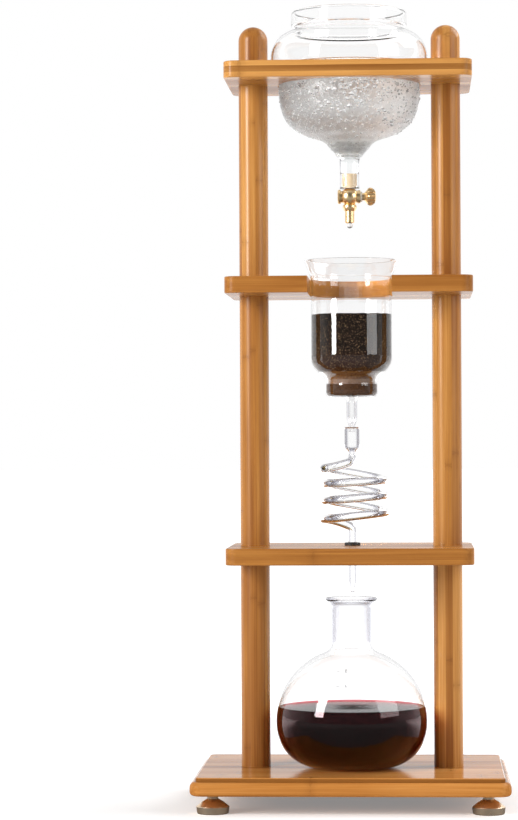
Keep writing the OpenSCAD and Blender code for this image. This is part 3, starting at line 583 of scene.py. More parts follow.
@dataclass(frozen=True)
class Grounds(Finish):
    """Wet coffee grounds, lighter and redder towards the glass at the bottom."""

    rough: float = 0.5
    ior: float = 1.2
    top: float = 502.0
    bottom: float = 435.0

    def make(self, effects: Effects) -> bpy.types.Material:
        """Builds the material."""
        material, bench, place = self.start()
        grit = self.group(bench, effects.speckle, {"Vector": place, "Size": 0.0011, "Contrast": 1.5})
        height = bench.add("SeparateXYZ", {0: place}).outputs[2]
        colour = bench.ramp(grit.outputs["Speck"], [(0.05, (0.007, 0.0032, 0.0016)), (0.4, (0.018, 0.009, 0.004)),
                                                    (0.75, (0.045, 0.024, 0.012)), (1.0, (0.24, 0.15, 0.08))])
        red = bench.span(height, self.bottom * MM, (self.bottom + 24) * MM, 0.5, 0.0)
        colour = bench.blend(red, colour, (0.06, 0.016, 0.004), "SCREEN")
        shader = bench.add("BsdfPrincipled", {
            "Base Color": colour, "IOR": self.ior,
            "Roughness": bench.span(grit.outputs["Cloud"], 0.2, 0.8, self.rough - 0.15, self.rough + 0.15),
            "Normal": bench.bump(grit.outputs["Height"], 0.0009)})
        self.close(bench, shader.outputs[0])
        return material


@dataclass(frozen=True)
class Glass(Finish):
    """Clear glass with painted grey shade where it is seen edge-on, and which lets the lamps' light through."""

    rough: float = 0.0
    ior: float = 1.46
    edge: Colour = (0.36, 0.36, 0.42)
    edge_start: float = 0.72
    edge_middle: Colour = (0.78, 0.78, 0.81)
    thin: tuple[float, float, float] | None = None
    mist: tuple[float, float] | None = None
    clear_below: tuple[float, float] | None = None
    drop_size: float = 0.0024
    drop_cover: float = 0.6
    mist_rough: tuple[float, float] = (0.30, 0.16)
    mist_bump: float = 0.0004

    def make(self, effects: Effects) -> bpy.types.Material:
        """Builds the material."""
        material, bench, place = self.start()
        facing = bench.add("LayerWeight", {"Blend": 0.5}).outputs["Facing"]
        height = bench.add("SeparateXYZ", {0: place}).outputs[2]
        # thin spreads the painted edge shade over the whole glass between two heights, as on a narrow neck or stem.
        if self.thin:
            wide_z, thin_z, share = self.thin
            way = bench.add("MapRange", {0: height, 1: wide_z * MM, 2: thin_z * MM, 3: 1.0, 4: share}).outputs[0]
            facing = bench.maths("SUBTRACT", 1.0, bench.maths("MULTIPLY", bench.maths("SUBTRACT", 1.0, facing), way))
        # Painted shade: the glass turns grey from edge_start on, where it is seen edge-on, to stand for its dark
        # outlines.
        colour = bench.ramp(facing, [(self.edge_start, (0.99, 0.99, 0.99)),
                                     ((1 + 2 * self.edge_start) / 3, self.edge_middle), (0.97, self.edge)])
        inputs: dict[str, object] = {"IOR": self.ior, "Transmission Weight": 1.0, "Roughness": self.rough}
        if self.mist:
            there = bench.span(height, self.mist[0] * MM, self.mist[1] * MM, 1.0, 0.0)
            if self.clear_below:
                there = bench.maths("MULTIPLY", there, bench.span(height, self.clear_below[0] * MM,
                                                                  self.clear_below[1] * MM))
            drops = self.group(bench, effects.drops, {"Vector": place, "Drop Size": self.drop_size,
                                                      "Cover": self.drop_cover})
            low, high = (z * MM for z in (self.clear_below or self.mist))
            fog = bench.ramp(bench.add("MapRange", {0: height, 1: low, 2: self.mist[1] * MM}).outputs[0],
                             [(0.0, (0.80, 0.78, 0.75)), (0.12, (0.86, 0.84, 0.81)), (0.32, (0.94, 0.925, 0.915)),
                              (0.5, (1.0, 0.997, 0.995)), (1.0, (1.0, 1.0, 0.998))])
            patch = bench.add("TexNoise", {"Vector": place, "Scale": 120.0, "Detail": 2.0}).outputs[0]
            spots = bench.maths("MULTIPLY", bench.span(patch, 0.5, 0.7, 0.0, 0.7),
                                bench.span(height, low, high + 0.012, 1.0, 0.0))
            fog = bench.blend(spots, fog, (0.55, 0.51, 0.45))
            # Painted shade: a grey ring round each drop of the mist, standing for its dark rim.
            grey = bench.ramp(drops.outputs["Drops"], [(0.0, (1.0, 1.0, 1.0)), (0.3, (0.88, 0.88, 0.88)),
                                                       (0.6, (1.0, 1.0, 1.0))])
            colour = bench.blend(there, colour, bench.blend(1.0, fog, grey, "MULTIPLY"))
            inputs["Roughness"] = bench.maths("MULTIPLY", there,
                                              bench.span(drops.outputs["Drops"], 0.1, 0.4, *self.mist_rough))
            inputs["Normal"] = bench.bump(bench.maths("MULTIPLY", drops.outputs["Height"], there), self.mist_bump)
        inputs["Base Color"] = colour
        glass = bench.add("BsdfPrincipled", inputs)
        through = bench.add("BsdfTransparent", {"Color": (0.93, 0.93, 0.94)})
        lamp = bench.add("LightPath").outputs["Is Shadow Ray"]
        self.close(bench, bench.add("MixShader", {0: lamp, 1: glass.outputs[0], 2: through.outputs[0]}).outputs[0])
        return material


@dataclass(frozen=True)
class Liquid(Finish):
    """A clear or dark liquid, coloured by how deep the light goes through it."""

    rough: float = 0.0
    ior: float = 1.333
    tint: Colour = (0.98, 0.99, 0.99)
    absorbs: Colour | None = None
    density: float = 0.0
    shade: Colour = (0.9, 0.92, 0.92)

    def make(self, effects: Effects) -> bpy.types.Material:
        """Builds the material."""
        material, bench, place = self.start()
        swirl = bench.add("TexNoise", {"Vector": place, "Scale": 22.0, "Detail": 2.0}).outputs[0]
        colour = bench.blend(bench.maths("MULTIPLY", swirl, 0.4), self.tint, self.shade)
        liquid = bench.add("BsdfPrincipled", {"Base Color": colour, "Roughness": self.rough, "IOR": self.ior,
                                              "Transmission Weight": 1.0})
        through = bench.add("BsdfTransparent", {"Color": self.shade})
        lamp = bench.add("LightPath").outputs["Is Shadow Ray"]
        mixed = bench.add("MixShader", {0: lamp, 1: liquid.outputs[0], 2: through.outputs[0]}).outputs[0]
        out = bench.add("OutputMaterial", {"Surface": mixed})
        if self.absorbs:
            body = bench.add("VolumeAbsorption", {"Color": self.absorbs, "Density": self.density})
            bench.put(out.inputs["Volume"], body.outputs[0])
        return material


@dataclass(frozen=True)
class Beads(Finish):
    """Condensed beads, with a painted highlight on their upper side, a dark line of painted shade along their lower
    side, and darker patches of painted reflection of the shelf just under it.
    """

    rough: float = 0.12
    top: float = 736.0
    reach: float = 30.0

    def make(self, effects: Effects) -> bpy.types.Material:
        """Builds the material."""
        material, bench, place = self.start()
        turned = bench.add("SeparateXYZ", {0: bench.add("NewGeometry").outputs["Normal"]}).outputs[2]
        height = bench.add("SeparateXYZ", {0: place}).outputs[2]
        # Painted highlight and shade from the bead's normal: white where it faces up and sideways, a dark line of shade
        # low down, and lighter again at the very bottom.
        colour = bench.ramp(bench.span(turned, -1.0, 1.0), [
            (0.0, (0.5, 0.49, 0.47)), (0.07, (0.24, 0.235, 0.23)), (0.14, (0.38, 0.375, 0.37)),
            (0.22, (0.78, 0.78, 0.77)), (0.30, (0.94, 0.94, 0.94)), (1.0, (0.95, 0.95, 0.95))])
        patch = bench.add("TexNoise", {"Vector": place, "Scale": 60.0, "Detail": 2.0}).outputs[0]
        # Painted reflection of the dark shelf: darker patches on the beads between top - reach and top, just under the
        # shelf.
        deep = bench.maths("MULTIPLY", bench.span(patch, 0.5, 0.62), bench.span(height, (self.top - self.reach) * MM,
                                                                               self.top * MM))
        colour = bench.blend(deep, colour, (0.42, 0.415, 0.41), "MULTIPLY")
        pale = bench.maths("MULTIPLY", bench.span(patch, 0.5, 0.4), 0.5)
        colour = bench.blend(pale, colour, (0.70, 0.70, 0.69))
        shader = bench.add("BsdfPrincipled", {"Base Color": colour, "Roughness": self.rough, "IOR": 1.33,
                                              "Transmission Weight": 0.3})
        self.close(bench, shader.outputs[0])
        return material


# ---------------------------------------------------------------- the room


@dataclass
class Studio:
    """A white room with two tall lamps, and the camera of the photograph."""

    focal_px: float = 2910.0
    frame_px: tuple[int, int] = (518, 820)
    sensor: float = 36.0
    place: tuple[float, float, float] = (68.7, -2995.7, 375.7)
    yaw: float = 3.118
    pitch: float = 0.534
    roll: float = -0.261
    fill: float = 0.34
    gloss_front: float = 0.07
    gloss_side: float = 0.55
    floor_side: float = 60.0
    floor_paint: float = 0.86
    floor_glow: tuple[float, float] = (0.24, 1.0)
    glow_reach: tuple[float, float] = (0.3, 1.3)

    def camera(self) -> bpy.types.Object:
        """Places the camera."""
        data = bpy.data.cameras.new("camera")
        data.sensor_width = self.sensor
        data.lens = self.focal_px / max(self.frame_px) * self.sensor
        data.clip_end = 100.0
        made = bpy.data.objects.new("camera", data)
        yaw, pitch, roll = (math.radians(a) for a in (self.yaw, self.pitch, self.roll))
        ahead = Vector((-math.sin(yaw) * math.cos(pitch), math.cos(yaw) * math.cos(pitch), math.sin(pitch)))
        level = Vector((math.cos(yaw), math.sin(yaw), 0.0))
        up = level.cross(ahead)
        right = math.cos(roll) * level + math.sin(roll) * up
        top = -math.sin(roll) * level + math.cos(roll) * up
        turn = Matrix((right, top, -ahead)).transposed().to_4x4()
        made.matrix_world = Matrix.Translation(Vector(self.place) * MM) @ turn
        bpy.context.scene.collection.objects.link(made)
        bpy.context.scene.camera = made
        return made

    def world(self) -> None:
        """A white world for the eye and for glass, and a softer one for light and gloss."""
        world = bpy.data.worlds.new("room")
        bpy.context.scene.world = world
        world.use_nodes = True
        world.node_tree.nodes.clear()
        bench = Bench(world.node_tree)
        path = bench.add("LightPath")
        aim = bench.add("TexCoord").outputs["Generated"]
        rise = bench.add("SeparateXYZ", {0: aim})
        side = bench.span(rise.outputs[1], -0.62, 0.0, self.gloss_front, self.gloss_side)
        back = bench.span(rise.outputs[1], 0.0, 0.6, 0.0, 1.0 - self.gloss_side)
        sky = bench.span(rise.outputs[2], 0.35, 0.95, 1.0, 0.45)
        gloss = bench.maths("MULTIPLY", bench.maths("ADD", side, back), sky)
        level = bench.add("Mix", {0: path.outputs["Is Glossy Ray"], 2: self.fill, 3: gloss},
                          data_type="FLOAT").outputs[0]
        seen = bench.maths("MAXIMUM", path.outputs["Is Camera Ray"], path.outputs["Is Transmission Ray"])
        level = bench.add("Mix", {0: seen, 2: level, 3: 1.0}, data_type="FLOAT").outputs[0]
        shell = bench.add("Background", {"Color": (1.0, 1.0, 1.0), "Strength": level})
        bench.add("OutputWorld", {"Surface": shell.outputs[0]})

    def floor(self) -> None:
        """A white floor that keeps the object's shadow."""
        bm = bmesh.new()
        bmesh.ops.create_grid(bm, x_segments=1, y_segments=1, size=self.floor_side / 2)
        made = finish_mesh("floor", bm, smooth_faces=False)
        material = bpy.data.materials.new("floor_paint")
        material.use_nodes = True
        material.node_tree.nodes.clear()
        bench = Bench(material.node_tree)
        path = bench.add("LightPath")
        seen = bench.maths("MAXIMUM", path.outputs["Is Camera Ray"],
                           bench.maths("MAXIMUM", path.outputs["Is Glossy Ray"], path.outputs["Is Transmission Ray"]))
        place = bench.add("TexCoord").outputs["Object"]
        away = bench.add("VectorMath", {0: place}, operation="LENGTH").outputs["Value"]
        level = bench.span(away, *self.glow_reach, *self.floor_glow)
        front = bench.span(bench.add("SeparateXYZ", {0: place}).outputs[1], -0.05, 0.35, 1.0, 0.0)
        dark = bench.maths("SUBTRACT", 1.0, bench.maths("MULTIPLY", bench.maths("MULTIPLY", front, 0.8),
                                                        path.outputs["Is Glossy Ray"]))
        level = bench.maths("MULTIPLY", level, dark)
        paint = bench.add("BsdfDiffuse", {"Color": bench.add("CombineColor", {
            i: bench.maths("MULTIPLY", dark, self.floor_paint) for i in range(3)}).outputs[0]})
        glow = bench.add("Emission", {"Color": (1.0, 1.0, 1.0), "Strength": bench.maths("MULTIPLY", seen, level)})
        both = bench.add("AddShader", {0: paint.outputs[0], 1: glow.outputs[0]})
        bench.add("OutputMaterial", {"Surface": both.outputs[0]})
        made.data.materials.append(material)

    def lamp(self, name: str, place: tuple[float, float, float], target: tuple[float, float, float],
             size: Point, watts: float) -> None:
        """One soft rectangular lamp.

        Args:
            name: Name of the lamp.
            place: Where it stands, in metres.
            target: What it points at, in metres.
            size: Width and height in metres.
            watts: Power.
        """
        data = bpy.data.lights.new(name, "AREA")
        data.shape = "RECTANGLE"
        data.size, data.size_y = size
        data.energy = watts
        made = bpy.data.objects.new(name, data)
        aim = Vector(target) - Vector(place)
        made.matrix_world = Matrix.Translation(place) @ aim.to_track_quat("-Z", "Y").to_matrix().to_4x4()
        bpy.context.scene.collection.objects.link(made)

    def lamps(self) -> None:
        """The tall lamps at the left and right, and a broad one above at the right."""
        self.lamp("left_lamp", (-2.3, -1.93, 1.33), (0.0, 0.0, 0.1), (0.8, 1.6), 96.0)
        self.lamp("right_lamp", (2.65, -1.4, 1.4), (0.0, 0.0, 0.3), (1.9, 1.8), 38.0)
        self.lamp("top_lamp", (1.3, 0.5, 1.7), (0.0, 0.0, 0.1), (1.2, 1.2), 24.0)

    def build(self) -> None:
        """Sets up the whole room."""
        self.camera()
        self.world()
        self.floor()
        self.lamps()
        bpy.context.scene.view_settings.view_transform = "Standard"


# ---------------------------------------------------------------- sub-assemblies


def dress(nodes: Iterable[str], material: bpy.types.Material) -> None:
    """Puts a material on carried-over CAD nodes."""
    for name in nodes:
        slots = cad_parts[name].data.materials
        slots.clear()
        slots.append(material)


def place_piece(made: bpy.types.Object, material: bpy.types.Material, body: str,
                replaced: tuple[str, ...] = ()) -> bpy.types.Object:
    """Dresses a new piece and joins it to a CAD body.

    Args:
        made: The piece.
        material: Its material.
        body: Body that it moves with.
        replaced: CAD nodes that it stands for.

    Returns:
        The piece.
    """
    made.data.materials.append(material)
    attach(made, body)
    if replaced:
        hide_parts(*replaced)
    LOG.info("%s on %s, %d faces", made.name, body, len(made.data.polygons))
    return made


@dataclass
class BambooFrame:
    """Base, shelves, posts and finials, with their fasteners, grommet and feet."""

    effects: Effects
    shelf_levels: dict[str, float] = field(default_factory=lambda: {
        "coil_shelf": 246.8, "beaker_shelf": 520.5, "jar_shelf": 737.2})
    shelf_t: float = 17.0
    base_z: float = 19.0
    base_t: float = 18.3
    base_step: float = 4.1
    ply_shades: tuple[float, float, float] = (0.35, 0.25, 0.85)

    def boards(self) -> None:
        """Dresses the base and the shelves."""
        for number, (name, z) in enumerate(self.shelf_levels.items()):
            dress([name], Bamboo("bamboo_" + name, 0.26, Grain.ACROSS, strip=21.0, plies=(z, self.shelf_t),
                                 ply_shade=self.ply_shades[number], seed=2.0 + number, ior=1.22).make(self.effects))
        # The base's band is painted shade on its moulding step.
        top = self.base_z + self.base_t
        dress(["base_board"], Bamboo("bamboo_base", 0.14, Grain.ACROSS, strip=24.0, seed=7.0, ior=1.13,
                                     painted_shade_band=(top - self.base_step, top - 1.0), light=(0.61, 0.28, 0.078),
                                     middle=(0.46, 0.182, 0.04)).make(self.effects))

    def posts(self) -> None:
        """Dresses the posts and finials."""
        for side, seed in (("left", 11.0), ("right", 23.0)):
            for part, more in (("post_lower", 0.0), ("post_middle", 1.0), ("post_upper", 2.0), ("finial", 3.0)):
                dress([f"{side}_{part}"], Bamboo(f"bamboo_{side}_{part}", 0.27, Grain.UP, strip=7.4,
                                                 seed=seed + more).make(self.effects))

    def fasteners(self) -> None:
        """Dresses the metal and rubber parts of the frame."""
        dress(["joint_studs", "base_bolts", "base_washers"], Steel("zinc_steel").make(self.effects))
        dress(["thread_inserts", "foot_bushes"], Brass("insert_brass", 0.3).make(self.effects))
        dress(["tube_grommet"], Soft("black_grommet", 0.5, (0.015, 0.014, 0.014), (0.05, 0.045, 0.045)).make(
            self.effects))
        dress([f"foot_{y}_{x}" for y in ("front", "back") for x in ("left", "right")],
              Brass("foot_brass", 0.26, (0.96, 0.78, 0.58), (0.84, 0.64, 0.44)).make(self.effects))

    def build(self) -> None:
        """Dresses the whole frame."""
        self.boards()
        self.posts()
        self.fasteners()


@dataclass
class WaterJar:
    """The jar that hangs in the top shelf, its water and its stopper."""

    effects: Effects
    seat: float = 754.4
    rise: float = 59.0
    shoulder_d: float = 161.6
    bulb_d: float = 145.2
    neck_d: float = 104.0
    collar_d: float = 118.8
    collar_h: float = 17.0
    bulb_depth: float = 71.5
    spout_d: float = 20.0
    spout_depth: float = 123.3
    wall: float = 2.2
    water_depth: float = 9.0
    stopper_l: float = 15.0
    mist_top: float = 752.0
    mist_start: float = 740.0
    bead_count: int = 860
    bead_band: tuple[float, float] = (676.0, 735.5)

    def outline(self) -> Outline:
        """The jar's outer outline from its rim to its spout's end."""
        top, seat = self.seat + self.rise, self.seat
        neck, side, bulb, collar, spout = (d / 2 for d in (self.neck_d, self.shoulder_d, self.bulb_d, self.collar_d,
                                                           self.spout_d))
        low, floor, bend = top - self.collar_h, seat - self.bulb_depth, (self.shoulder_d - self.neck_d) / 2 - 1
        lip, under = 3.5, 5.5
        return [
            *arc(collar - lip, top - lip, lip, 80, 0, 10),
            *arc(collar - lip, low + lip, lip, 0, -80, 10),
            (neck + 0.6, low - 1),
            *arc(side - bend, low - 2.4 - bend, bend, 84, 0, 26),
            *arc(side - under, seat + under, under, 0, -84, 12),
            (bulb + 0.4, seat),
            *smooth([(bulb, seat - 2.4), (bulb, seat - 18), (bulb - 0.7, seat - 33), (bulb - 5, seat - 49),
                     (bulb - 13.4, floor + 11.4), (bulb - 26, floor + 3.8), (bulb - 38, floor),
                     (spout + 15.5, floor - 4.2), (spout + 9.4, floor - 11), (spout + 3.2, floor - 18.2),
                     (spout, floor - 24), (spout, seat - self.spout_depth)]),
        ]

    def beads(self, outer: Outline) -> bpy.types.Object:
        """Flattened beads of condensed water on the bulb, closest together at its front and back."""
        chance = random.Random(5)
        single = bmesh.new()
        bmesh.ops.create_uvsphere(single, u_segments=8, v_segments=6, radius=1.0)
        ball = bpy.data.meshes.new("bead")
        single.to_mesh(ball)
        single.free()
        bm = bmesh.new()
        low, high = self.bead_band
        made = 0
        while made < self.bead_count:
            z = low + (high - low) * chance.random() ** 0.7
            turn = chance.uniform(-math.pi, math.pi)
            side = math.sin(turn)
            lean = math.cos(turn)
            cover = (0.25 + 0.75 * abs(side) ** 1.5) * (0.75 + 0.35 * lean) * (0.3 + 0.7 * (z - low) / (high - low))
            cover *= 0.45 + 1.1 * max(0.0, noise.noise(Vector((turn * 4.0, z * 0.09, 1.7))) + 0.35)
            if chance.random() > cover:
                continue
            r = radius_at(outer, z)
            slope = (radius_at(outer, z + 1.0) - radius_at(outer, z - 1.0)) / 2
            width = (0.6 + 0.9 * chance.random() + (1.4 * chance.random() if chance.random() > 0.82 else 0.0)) * MM
            out = Vector((math.cos(turn), math.sin(turn), -slope)).normalized()
            along = Vector((-math.sin(turn), math.cos(turn), 0.0))
            up = out.cross(along)
            tall = width * chance.uniform(0.5, 0.85)
            deep = width * 0.5
            base = Matrix((along * width, up * tall, out * deep)).transposed().to_4x4()
            at = Vector((r * math.cos(turn), r * math.sin(turn), z)) * MM
            bm.from_mesh(ball)
            bm.verts.ensure_lookup_table()
            bmesh.ops.transform(bm, verts=bm.verts[-len(ball.vertices):], matrix=Matrix.Translation(at) @ base)
            made += 1
        bpy.data.meshes.remove(ball)
        return finish_mesh("jar_beads", bm)

    def build(self) -> None:
        """Builds the jar, the water, the stopper and the beads on the glass."""
        outer = self.outline()
        inner = inset(outer, self.wall)
        shell = lathe("jar_glass", [*outer, *reversed(inner)], steps=160)
        place_piece(shell, Glass("misted_glass", ior=1.36, edge_start=0.84, thin=(672.0, 662.0, 0.27),
                                 mist=(self.mist_start, self.mist_top), clear_below=(664.0, 676.0)).make(self.effects),
                    "jar", ("water_jar",))
        place_piece(self.beads(outer), Beads("condensed_beads").make(self.effects), "jar")
        spout_end = self.seat - self.spout_depth
        lap = inset(outer, self.wall - 0.12)
        water = lathe("jar_water", filling(lap, spout_end + self.stopper_l + 0.2, self.seat - self.water_depth),
                      steps=160)
        place_piece(water, Liquid("jar_water").make(self.effects), "jar", ("water",))
        dress(["jar_stopper"], Soft("cream_silicone", 0.45, (0.56, 0.43, 0.27), (0.44, 0.32, 0.18), depth=0.00005).make(
            self.effects))


@dataclass
class DripTap:
    """The brass tap under the jar, with its turning plug and a hanging drop."""

    effects: Effects
    tip_z: float = 595.6
    drop_d: float = 6.2

    def build(self) -> None:
        """Dresses the tap and hangs a drop from its nozzle."""
        brass = Brass("tap_brass", 0.30, (0.98, 0.76, 0.44), (0.86, 0.60, 0.30)).make(self.effects)
        dress(["tap_body", "tap_cap", "tap_nozzle", "tap_plug", "tap_knob"], brass)
        dress(["knob_washer"], Soft("white_washer", 0.5, (0.80, 0.76, 0.66), (0.7, 0.66, 0.58)).make(self.effects))
        dress(["plug_clip"], Steel("clip_steel", 0.25).make(self.effects))
        dress(["plug_seals"], Soft("seal_rubber", 0.5, (0.015, 0.014, 0.014), (0.05, 0.05, 0.05)).make(self.effects))
        r = self.drop_d / 2
        z = self.tip_z + 0.3
        outline = smooth([(0.0, z), (r * 0.62, z), (r * 0.8, z - 1.2), (r, z - 3.1), (r * 0.72, z - 5.0),
                          (0.0, z - 5.9)], 5)
        drop = lathe("nozzle_drop", outline, steps=32)
        # The drop takes the beads' painted highlight and painted shade.
        place_piece(drop, Beads("hanging_drop").make(self.effects), "jar")


@dataclass
class Beaker:
    """The brewing beaker with its coffee bed, filter and the coffee below the filter."""

    effects: Effects
    x: float = 1.2
    seat: float = 537.5
    body_d: float = 82.8
    rim_d: float = 97.0
    rise: float = 19.6
    notch_d: float = 84.8
    narrow_d: float = 52.6
    shoulder_depth: float = 80.0
    depth: float = 120.7
    stem_d: float = 10.9
    tip_d: float = 6.8
    stem_l: float = 36.2
    wall: float = 1.8
    bed_depth: float = 35.5
    filter_rise: float = 13.0
    filter_t: float = 5.0
    cloth_t: float = 8.5

    def outline(self) -> Outline:
        """The beaker's outer outline from its rim to its stem's tip."""
        z, s, top = self.seat, self.seat - self.shoulder_depth, self.seat + self.rise
        body, rim, foot, notch = (d / 2 for d in (self.body_d, self.rim_d, self.narrow_d, self.notch_d))
        floor, stem, tip = z - self.depth, self.stem_d / 2, self.tip_d / 2
        end = floor - self.stem_l
        return [
            *smooth([(rim, top), (rim - 0.4, top - 1.2), (rim - 2.2, top - 5), (notch + 1.4, z + 7.5),
                     (notch + 0.5, z + 2.6), (notch - 0.7, z - 0.2), (body, z - 3.5), (body, z - 8)]),
            *smooth([(body, s + 4), (body, s), (body - 0.9, s - 6.5), (body - 4.6, s - 12.5), (body - 9.4, s - 17),
                     (foot + 1.4, s - 20.5), (foot, s - 25), (foot, s - 29)]),
            *arc(foot - 4.5, floor + 4.5, 4.5, 0, -84, 12),
            *smooth([(stem + 1.9, floor), (stem + 0.4, floor - 3), (stem, floor - 6), (stem, floor - 18),
                     (stem - 0.3, end + 12), (tip + 0.3, end + 8.6), (tip, end + 7), (tip, end)]),
        ]

    def build(self) -> None:
        """Builds the beaker and what is in it."""
        centre = (self.x, 0.0)
        outer = self.outline()
        shell = lathe("beaker_glass", [*outer, *reversed(inset(outer, self.wall))], centre)
        place_piece(shell, Glass("beaker_glass", ior=1.6, edge_start=0.8, thin=(
            self.seat - self.depth + 2, self.seat - self.depth - 5, 0.2)).make(self.effects),
                    "beaker", ("brew_beaker",))
        lap = inset(outer, self.wall - 0.1)
        floor = self.seat - self.depth
        filter_z = floor + self.filter_rise
        cloth_z = filter_z + self.filter_t + 0.1
        bed_z, bed_top = cloth_z + self.cloth_t, self.seat - self.bed_depth

        def lumps(p: Vector) -> Vector:
            """Raises and sinks the bed's top."""
            if p.z < (bed_top - 0.5) * MM:
                return p
            lift = noise.noise(Vector((p.x * 90, p.y * 90, 3.1)))
            lift += 0.5 * noise.noise(Vector((p.x * 400, p.y * 400, 7.7)))
            return p + Vector((0.0, 0.0, (lift * 0.7 - 0.6) * MM))

        bed = lathe("coffee_bed", filling(lap, bed_z, bed_top, 40), centre, shape=lumps)
        place_piece(bed, Grounds("wet_grounds", top=bed_top, bottom=bed_z).make(self.effects), "beaker",
                    ("coffee_grounds",))
        cloth = lathe("filter_cloth", filling(inset(outer, self.wall + 0.1), cloth_z, bed_z - 0.05), centre)
        stain = Soft("stained_cloth", 0.6, (0.20, 0.085, 0.026), (0.03, 0.012, 0.005), 0.0022, 0.0004, 1.2)
        place_piece(cloth, stain.make(self.effects), "beaker")
        disc = Soft("ceramic_disc", 0.6, (0.17, 0.085, 0.034), (0.05, 0.022, 0.009), 0.0018, 0.0002, 1.2)
        dress(["filter_disc"], disc.make(self.effects))
        gasket = Soft("gasket_silicone", 0.4, (0.16, 0.075, 0.03), (0.05, 0.022, 0.009), 0.0018)
        dress(["filter_gasket"], gasket.make(self.effects))
        pool = lathe("base_coffee", filling(lap, floor + self.wall + 0.2, filter_z - 0.1), centre)
        wet = Soft("pool_coffee", 0.2, (0.085, 0.036, 0.014), (0.012, 0.006, 0.003), 0.0019, 0.0003, 1.15)
        place_piece(pool, wet.make(self.effects), "beaker")


@dataclass
class CoolingCoil:
    """The coil's glass tube with the thin stream of coffee in it."""

    effects: Effects
    x: float = 1.2
    tube_d: float = 9.0
    wall: float = 1.3
    radius: float = 33.0
    shift: float = 3.0
    cup_top: float = 384.2
    cup_d: float = 18.0
    cup_l: float = 19.0
    neck_z: float = 358.6
    neck_d: float = 6.7
    in_z: float = 355.6
    left: tuple[float, ...] = (343.3, 327.8, 310.5, 291.4)
    bend_r: float = 6.6
    back_drop: float = 11.9
    end_drop: float = 13.5
    lead_steps: int = 32
    turn_steps: int = 40
    stream_r: float = 0.55
    tip_z: float = 216.1
    tip_l: float = 9.0
    tip_d: float = 4.8

    def half_turn(self, start: float, z0: float, z1: float) -> list[Vector]:
        """Points on half a turn that goes clockwise from above.

        Args:
            start: First angle in degrees.
            z0: Height where it starts.
            z1: Height where the next half begins.

        Returns:
            The points, without the next half's first.
        """
        out = []
        for k in range(self.turn_steps):
            swing = math.pi * k / self.turn_steps
            a = math.radians(start) - swing
            out.append(Vector((self.x + self.shift + self.radius * math.cos(a), self.radius * math.sin(a),
                               z0 + (z1 - z0) * (1 - math.cos(swing)) / 2)))
        return out

    def lead(self, drop: float) -> list[tuple[Vector, float]]:
        """The run along the front from the tube's middle, where it bends out of the upright, to its left end.

        Args:
            drop: Fall from the run's start to its end.

        Returns:
            Place on the level and fall so far, point by point.
        """
        reach = self.radius - self.shift
        corners = [Vector((0, 0)), Vector((-0.2 * reach, -7)), Vector((-reach, -14)), Vector((-reach, 0))]
        places = []
        for k in range(self.lead_steps + 1):
            t = (k / self.lead_steps) ** 1.3
            places.append(sum((c * math.comb(3, i) * (1 - t) ** (3 - i) * t**i for i, c in enumerate(corners)),
                              Vector((0, 0))))
        lengths = [0.0]
        for a, b in zip(places, places[1:], strict=False):
            lengths.append(lengths[-1] + (b - a).length)
        turn = math.radians(72)
        bend, sunk = self.bend_r * (1 - math.cos(turn)), self.bend_r * math.sin(turn)
        out = []
        for place, length in zip(places, lengths, strict=True):
            if length < bend:
                fall = math.sqrt(self.bend_r**2 - (self.bend_r - length) ** 2)
            else:
                fall = sunk + (drop - sunk) * math.sin(math.pi / 2 * (length - bend) / (lengths[-1] - bend))
            out.append((place, fall))
        return out

    def turns(self) -> list[Vector]:
        """The tube's middle line from the bend under the cup to the bend above the drip tube."""
        first = self.lead(self.in_z - self.left[0])
        points = [Vector((self.x + p.x, p.y, self.in_z - fall)) for p, fall in first[:-1]]
        for above, below in zip(self.left, self.left[1:], strict=False):
            right = above - self.back_drop
            points += self.half_turn(180, above, right)
            points += self.half_turn(360, right, below)
        last = self.lead(self.end_drop)
        points += [Vector((self.x + p.x, -p.y, self.left[-1] - self.end_drop + fall)) for p, fall in reversed(last)]
        return points

    def build(self) -> None:
        """Builds the glass and the stream."""
        cup, neck, tube = self.cup_d / 2, self.neck_d / 2, self.tube_d / 2
        bottom = self.cup_top - self.cup_l
        head = smooth([(cup + 0.1, self.cup_top), (cup, self.cup_top - 0.8), (cup, self.cup_top - 9), (cup, bottom),
                       (cup - 0.9, bottom - 1.8), (neck + 1.5, self.neck_z + 2), (neck, self.neck_z),
                       (neck + 0.7, self.in_z + 1.2), (tube, self.in_z)], 5)
        path = [(Vector((self.x, 0.0, z)), r) for r, z in head[:-1]]
        line = self.turns()
        path += [(p, tube) for p in line]
        drip_top = line[-1].z - 1.5
        path += [(Vector((self.x, 0.0, z)), r) for r, z in smooth(
            [(tube, drip_top), (tube, drip_top - 20), (tube, self.tip_z + self.tip_l + 8),
             (tube, self.tip_z + self.tip_l), (self.tip_d / 2, self.tip_z)], 4)]
        shell = swept_tube("coil_glass", path, 32, self.wall)
        place_piece(shell, Glass("coil_glass", ior=1.18, edge_start=0.12, edge_middle=(0.60, 0.60, 0.64),
                                 edge=(0.12, 0.12, 0.14)).make(self.effects), "coil", ("cooling_coil",))
        stream = []
        for before, p, after in zip(line, line[1:], line[2:], strict=False):
            flat = math.hypot(*(after - before).normalized().xy)
            stream.append((p - Vector((0.0, 0.0, (tube - self.wall - 0.6) * flat)), self.stream_r))
        run = swept_tube("coil_coffee", stream, 12)
        place_piece(run, Soft("stream_coffee", 0.2, (0.42, 0.33, 0.15), (0.28, 0.21, 0.08)).make(self.effects), "coil")


